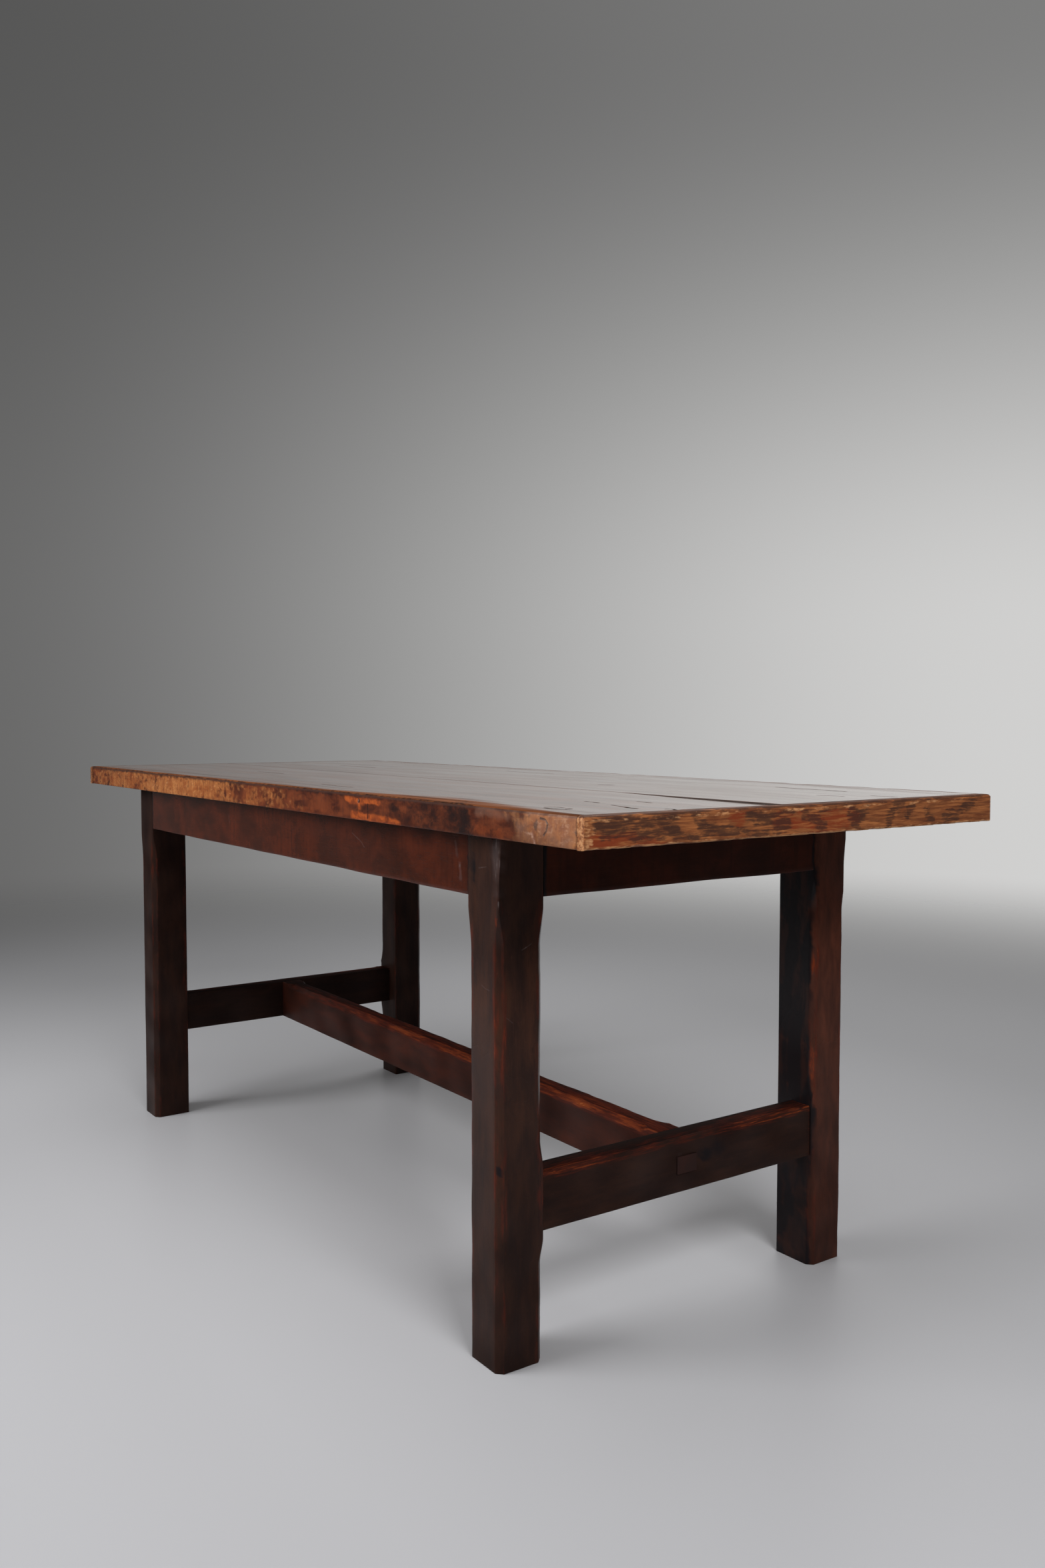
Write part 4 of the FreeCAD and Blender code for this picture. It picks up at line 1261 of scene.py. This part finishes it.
# Each apron's direction, darkening by dirt and painted shade, and marks
APRON_WORK = {
    "apron_front": ("x", 0.0, FRONT_APRON_MARKS),
    "apron_back": ("x", 0.1, []),
    "apron_left": ("y", 0.5, []),
    "apron_right": ("y", 0.35, []),
}
# Each end stretcher's outer side and marks
STRETCHER_WORK = {
    "end_stretcher_right": (1, RIGHT_STRETCHER_MARKS),
    "end_stretcher_left": (-1, []),
}


def make_top():
    """The planks and the strips over their ends."""
    underside = dry_wood("top_underside", "x", (0.3, 0.1, 0.0), (104, 70, 44), (72, 46, 30))
    front_top = waxed_top("front_plank_face", (0.2, 0.0, 0.4), (0, -205, 610), (134, 78, 42), (94, 52, 28))
    back_top = waxed_top("back_plank_face", (1.9, 0.6, 0.1), (0, 150, 640), (128, 75, 40), (88, 49, 26))
    front_edge = rubbed_edge("front_edge", (0.0, 0.0, 0.0))
    back_edge = rubbed_edge("back_edge", (3.1, 0.7, 0.2))
    right_wood = end_strip_wood("right_strip", (0.0, 0.0, 0.0), 902)
    left_wood = end_strip_wood("left_strip", (2.3, 0.0, 0.0), -902)
    plank("top_plank_front", -1, FRONT_EDGE_ZONES, FRONT_EDGE_STROKES, FRONT_EDGE_CRACKS,
          FRONT_PLANK_CRACKS + knot_cracks(), [front_top, front_edge, underside])
    plank("top_plank_back", 1, BACK_EDGE_ZONES, [], [], BACK_PLANK_CRACKS, [back_top, back_edge, underside])
    end_strip("end_strip_right", 1, RIGHT_STRIP_END_WEAR, RIGHT_STRIP_STROKES, right_wood)
    end_strip("end_strip_left", -1, LEFT_STRIP_END_WEAR, LEFT_STRIP_STROKES, left_wood)


def make_frame():
    """The legs, aprons and stretchers."""
    for number, (node, (marks, worn_top, high_stop, grime_and_shade, stain)) in enumerate(LEG_WORK.items()):
        finish = stained_frame(node + "_stain", "z", (0.7 * number, 0.3, 0.9), stain, RUBBED_RED)
        leg(node, marks, worn_top, high_stop, grime_and_shade, finish)
    for number, (node, (axis, grime_and_shade, marks)) in enumerate(APRON_WORK.items()):
        finish = stained_frame(node + "_stain", axis, (1.1 * number, 0.5, 0.2), RAIL_RED, RUBBED_RED,
                               mottle_mm=(60, 48, 48), saw_marks=0.55, bloom_and_sheen=0.1)
        apron(node, axis, grime_and_shade, marks, finish)
    for node, (outward, marks) in STRETCHER_WORK.items():
        finish = stained_frame(node + "_stain", "y", (0.4 + outward, 0.8, 0.1), LEG_BROWN, RUBBED_ORANGE,
                               flecks_mm=(30, 2.2, 2.2), flaky=0.8)
        end_stretcher(node, outward, marks, finish)
    finish = stained_frame("centre_stretcher_stain", "x", (0.9, 0.2, 0.5), RAIL_RED, RUBBED_ORANGE,
                           flecks_mm=(44, 4, 4), flaky=0.35)
    centre_stretcher("centre_stretcher", finish)


def dress_hidden_pieces():
    """Finishes for the pieces that keep their own shape: buttons, screws, nails and tongue."""
    button_wood = dry_wood("button_oak", "x", (0.6, 0.2, 0.3), (122, 82, 50), (84, 54, 34))
    tongue_wood = dry_wood("tongue_oak", "x", (1.6, 0.4, 0.3), (146, 108, 70), (112, 78, 50))
    steel = old_metal("dull_screw_steel", (120, 116, 110), (92, 62, 44), 0.8)
    iron = old_metal("black_nail_iron", (48, 44, 42), (70, 44, 32), 0.6)
    for name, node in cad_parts.items():
        if name.startswith("button_screws"):
            finish = steel
        elif name.startswith("button"):
            finish = button_wood
        elif name.startswith("strip_nails"):
            finish = iron
        elif name == "plank_tongue":
            finish = tongue_wood
        else:
            continue
        for place in node.material_slots:
            place.material = finish


def floor():
    """A pale floor that fades out into the backdrop's light."""
    bm = bmesh.new()
    bmesh.ops.create_circle(bm, cap_ends=True, segments=96, radius=FLOOR_RADIUS)
    mesh = bpy.data.meshes.new("floor")
    bm.to_mesh(mesh)
    bm.free()
    ground = Finish("pale_floor")
    away = ground.vector("LENGTH", ground.place).outputs["Value"]
    see_through = ground.add("BsdfTransparent").outputs[0]
    fade = ground.step(away, *FLOOR_FADE)
    mixed = ground.add("MixShader", fade, ground.shader.outputs[0], see_through).outputs[0]
    ground.fill(ground.tree.nodes["Material Output"].inputs["Surface"], mixed)
    ground.set(base_color=colour(196, 196, 199), roughness=0.34)
    mesh.materials.append(ground.material)
    made = bpy.data.objects.new("floor", mesh)
    bpy.context.scene.collection.objects.link(made)


def backdrop():
    """Dim grey light all round, and a pale wash behind the table, brightest low and to the right."""
    world = bpy.data.worlds.new("studio")
    bpy.context.scene.world = world
    world.use_nodes = True
    sky = Patterns(world.node_tree)
    direction = sky.add("TexCoord").outputs["Generated"]
    right = (math.cos(CAMERA_YAW), math.sin(CAMERA_YAW), 0)
    ahead = (-math.sin(CAMERA_YAW), math.cos(CAMERA_YAW), 0)

    def share_along(axis, low, high, first, last):
        along = sky.vector("DOT_PRODUCT", direction, axis).outputs["Value"]
        return sky.map_softly(along, low, high, first, last)

    sideways = share_along(right, -0.45, 0.42, 0.06, 0.56)
    wash = sky.times(sideways, share_along(ahead, 0.1, 0.8, 0.0, 1.0))
    wash = sky.times(wash, share_along((0, 0, 1), 0.06, 0.46, 1.0, 0.24))
    background = sky.tree.nodes["Background"]
    sky.fill(background.inputs["Strength"], sky.math("ADD", wash, AMBIENT))
    sky.fill(background.inputs["Color"], (1.0, 0.995, 0.985, 1.0))


def soft_light(name, place, aim, size, power, spread):
    """A large soft light at a place, turned towards its aim, with its beam's spread in degrees."""
    data = bpy.data.lights.new(name, "AREA")
    data.shape = "RECTANGLE"
    data.size, data.size_y = size
    data.energy = power
    data.spread = math.radians(spread)
    light = bpy.data.objects.new(name, data)
    light.location = place
    light.rotation_euler = (Vector(aim) - Vector(place)).to_track_quat("-Z", "Y").to_euler()
    bpy.context.scene.collection.objects.link(light)


def photograph():
    """The camera where the photograph was taken, and how its picture is toned."""
    data = bpy.data.cameras.new("camera")
    data.sensor_width = SENSOR
    data.lens = FOCAL_PIXELS * SENSOR / PICTURE_HEIGHT
    camera = bpy.data.objects.new("camera", data)
    camera.location = EYE
    camera.rotation_euler = (math.pi / 2 + CAMERA_PITCH, 0, CAMERA_YAW)
    bpy.context.scene.collection.objects.link(camera)
    bpy.context.scene.camera = camera
    bpy.context.scene.view_settings.view_transform = "Standard"


make_top()
make_frame()
dress_hidden_pieces()
floor()
backdrop()
soft_light("window_left", (-0.5, -3.1, 2.1), (0.1, -0.3, 0.75), (2.2, 1.6), 31, 100)
soft_light("window_right", (3.2, -0.7, 2.7), (0.75, 0, 0.45), (1.4, 1.0), 18, 90)
soft_light("skylight", (-0.3, -0.9, 3.1), (-0.3, -0.6, 0), (2.6, 2.6), 22, 150)
soft_light("back_fill", (-1.2, 2.2, 3.9), (-0.3, 0.2, 0.6), (2.0, 2.0), 8, 90)
photograph()
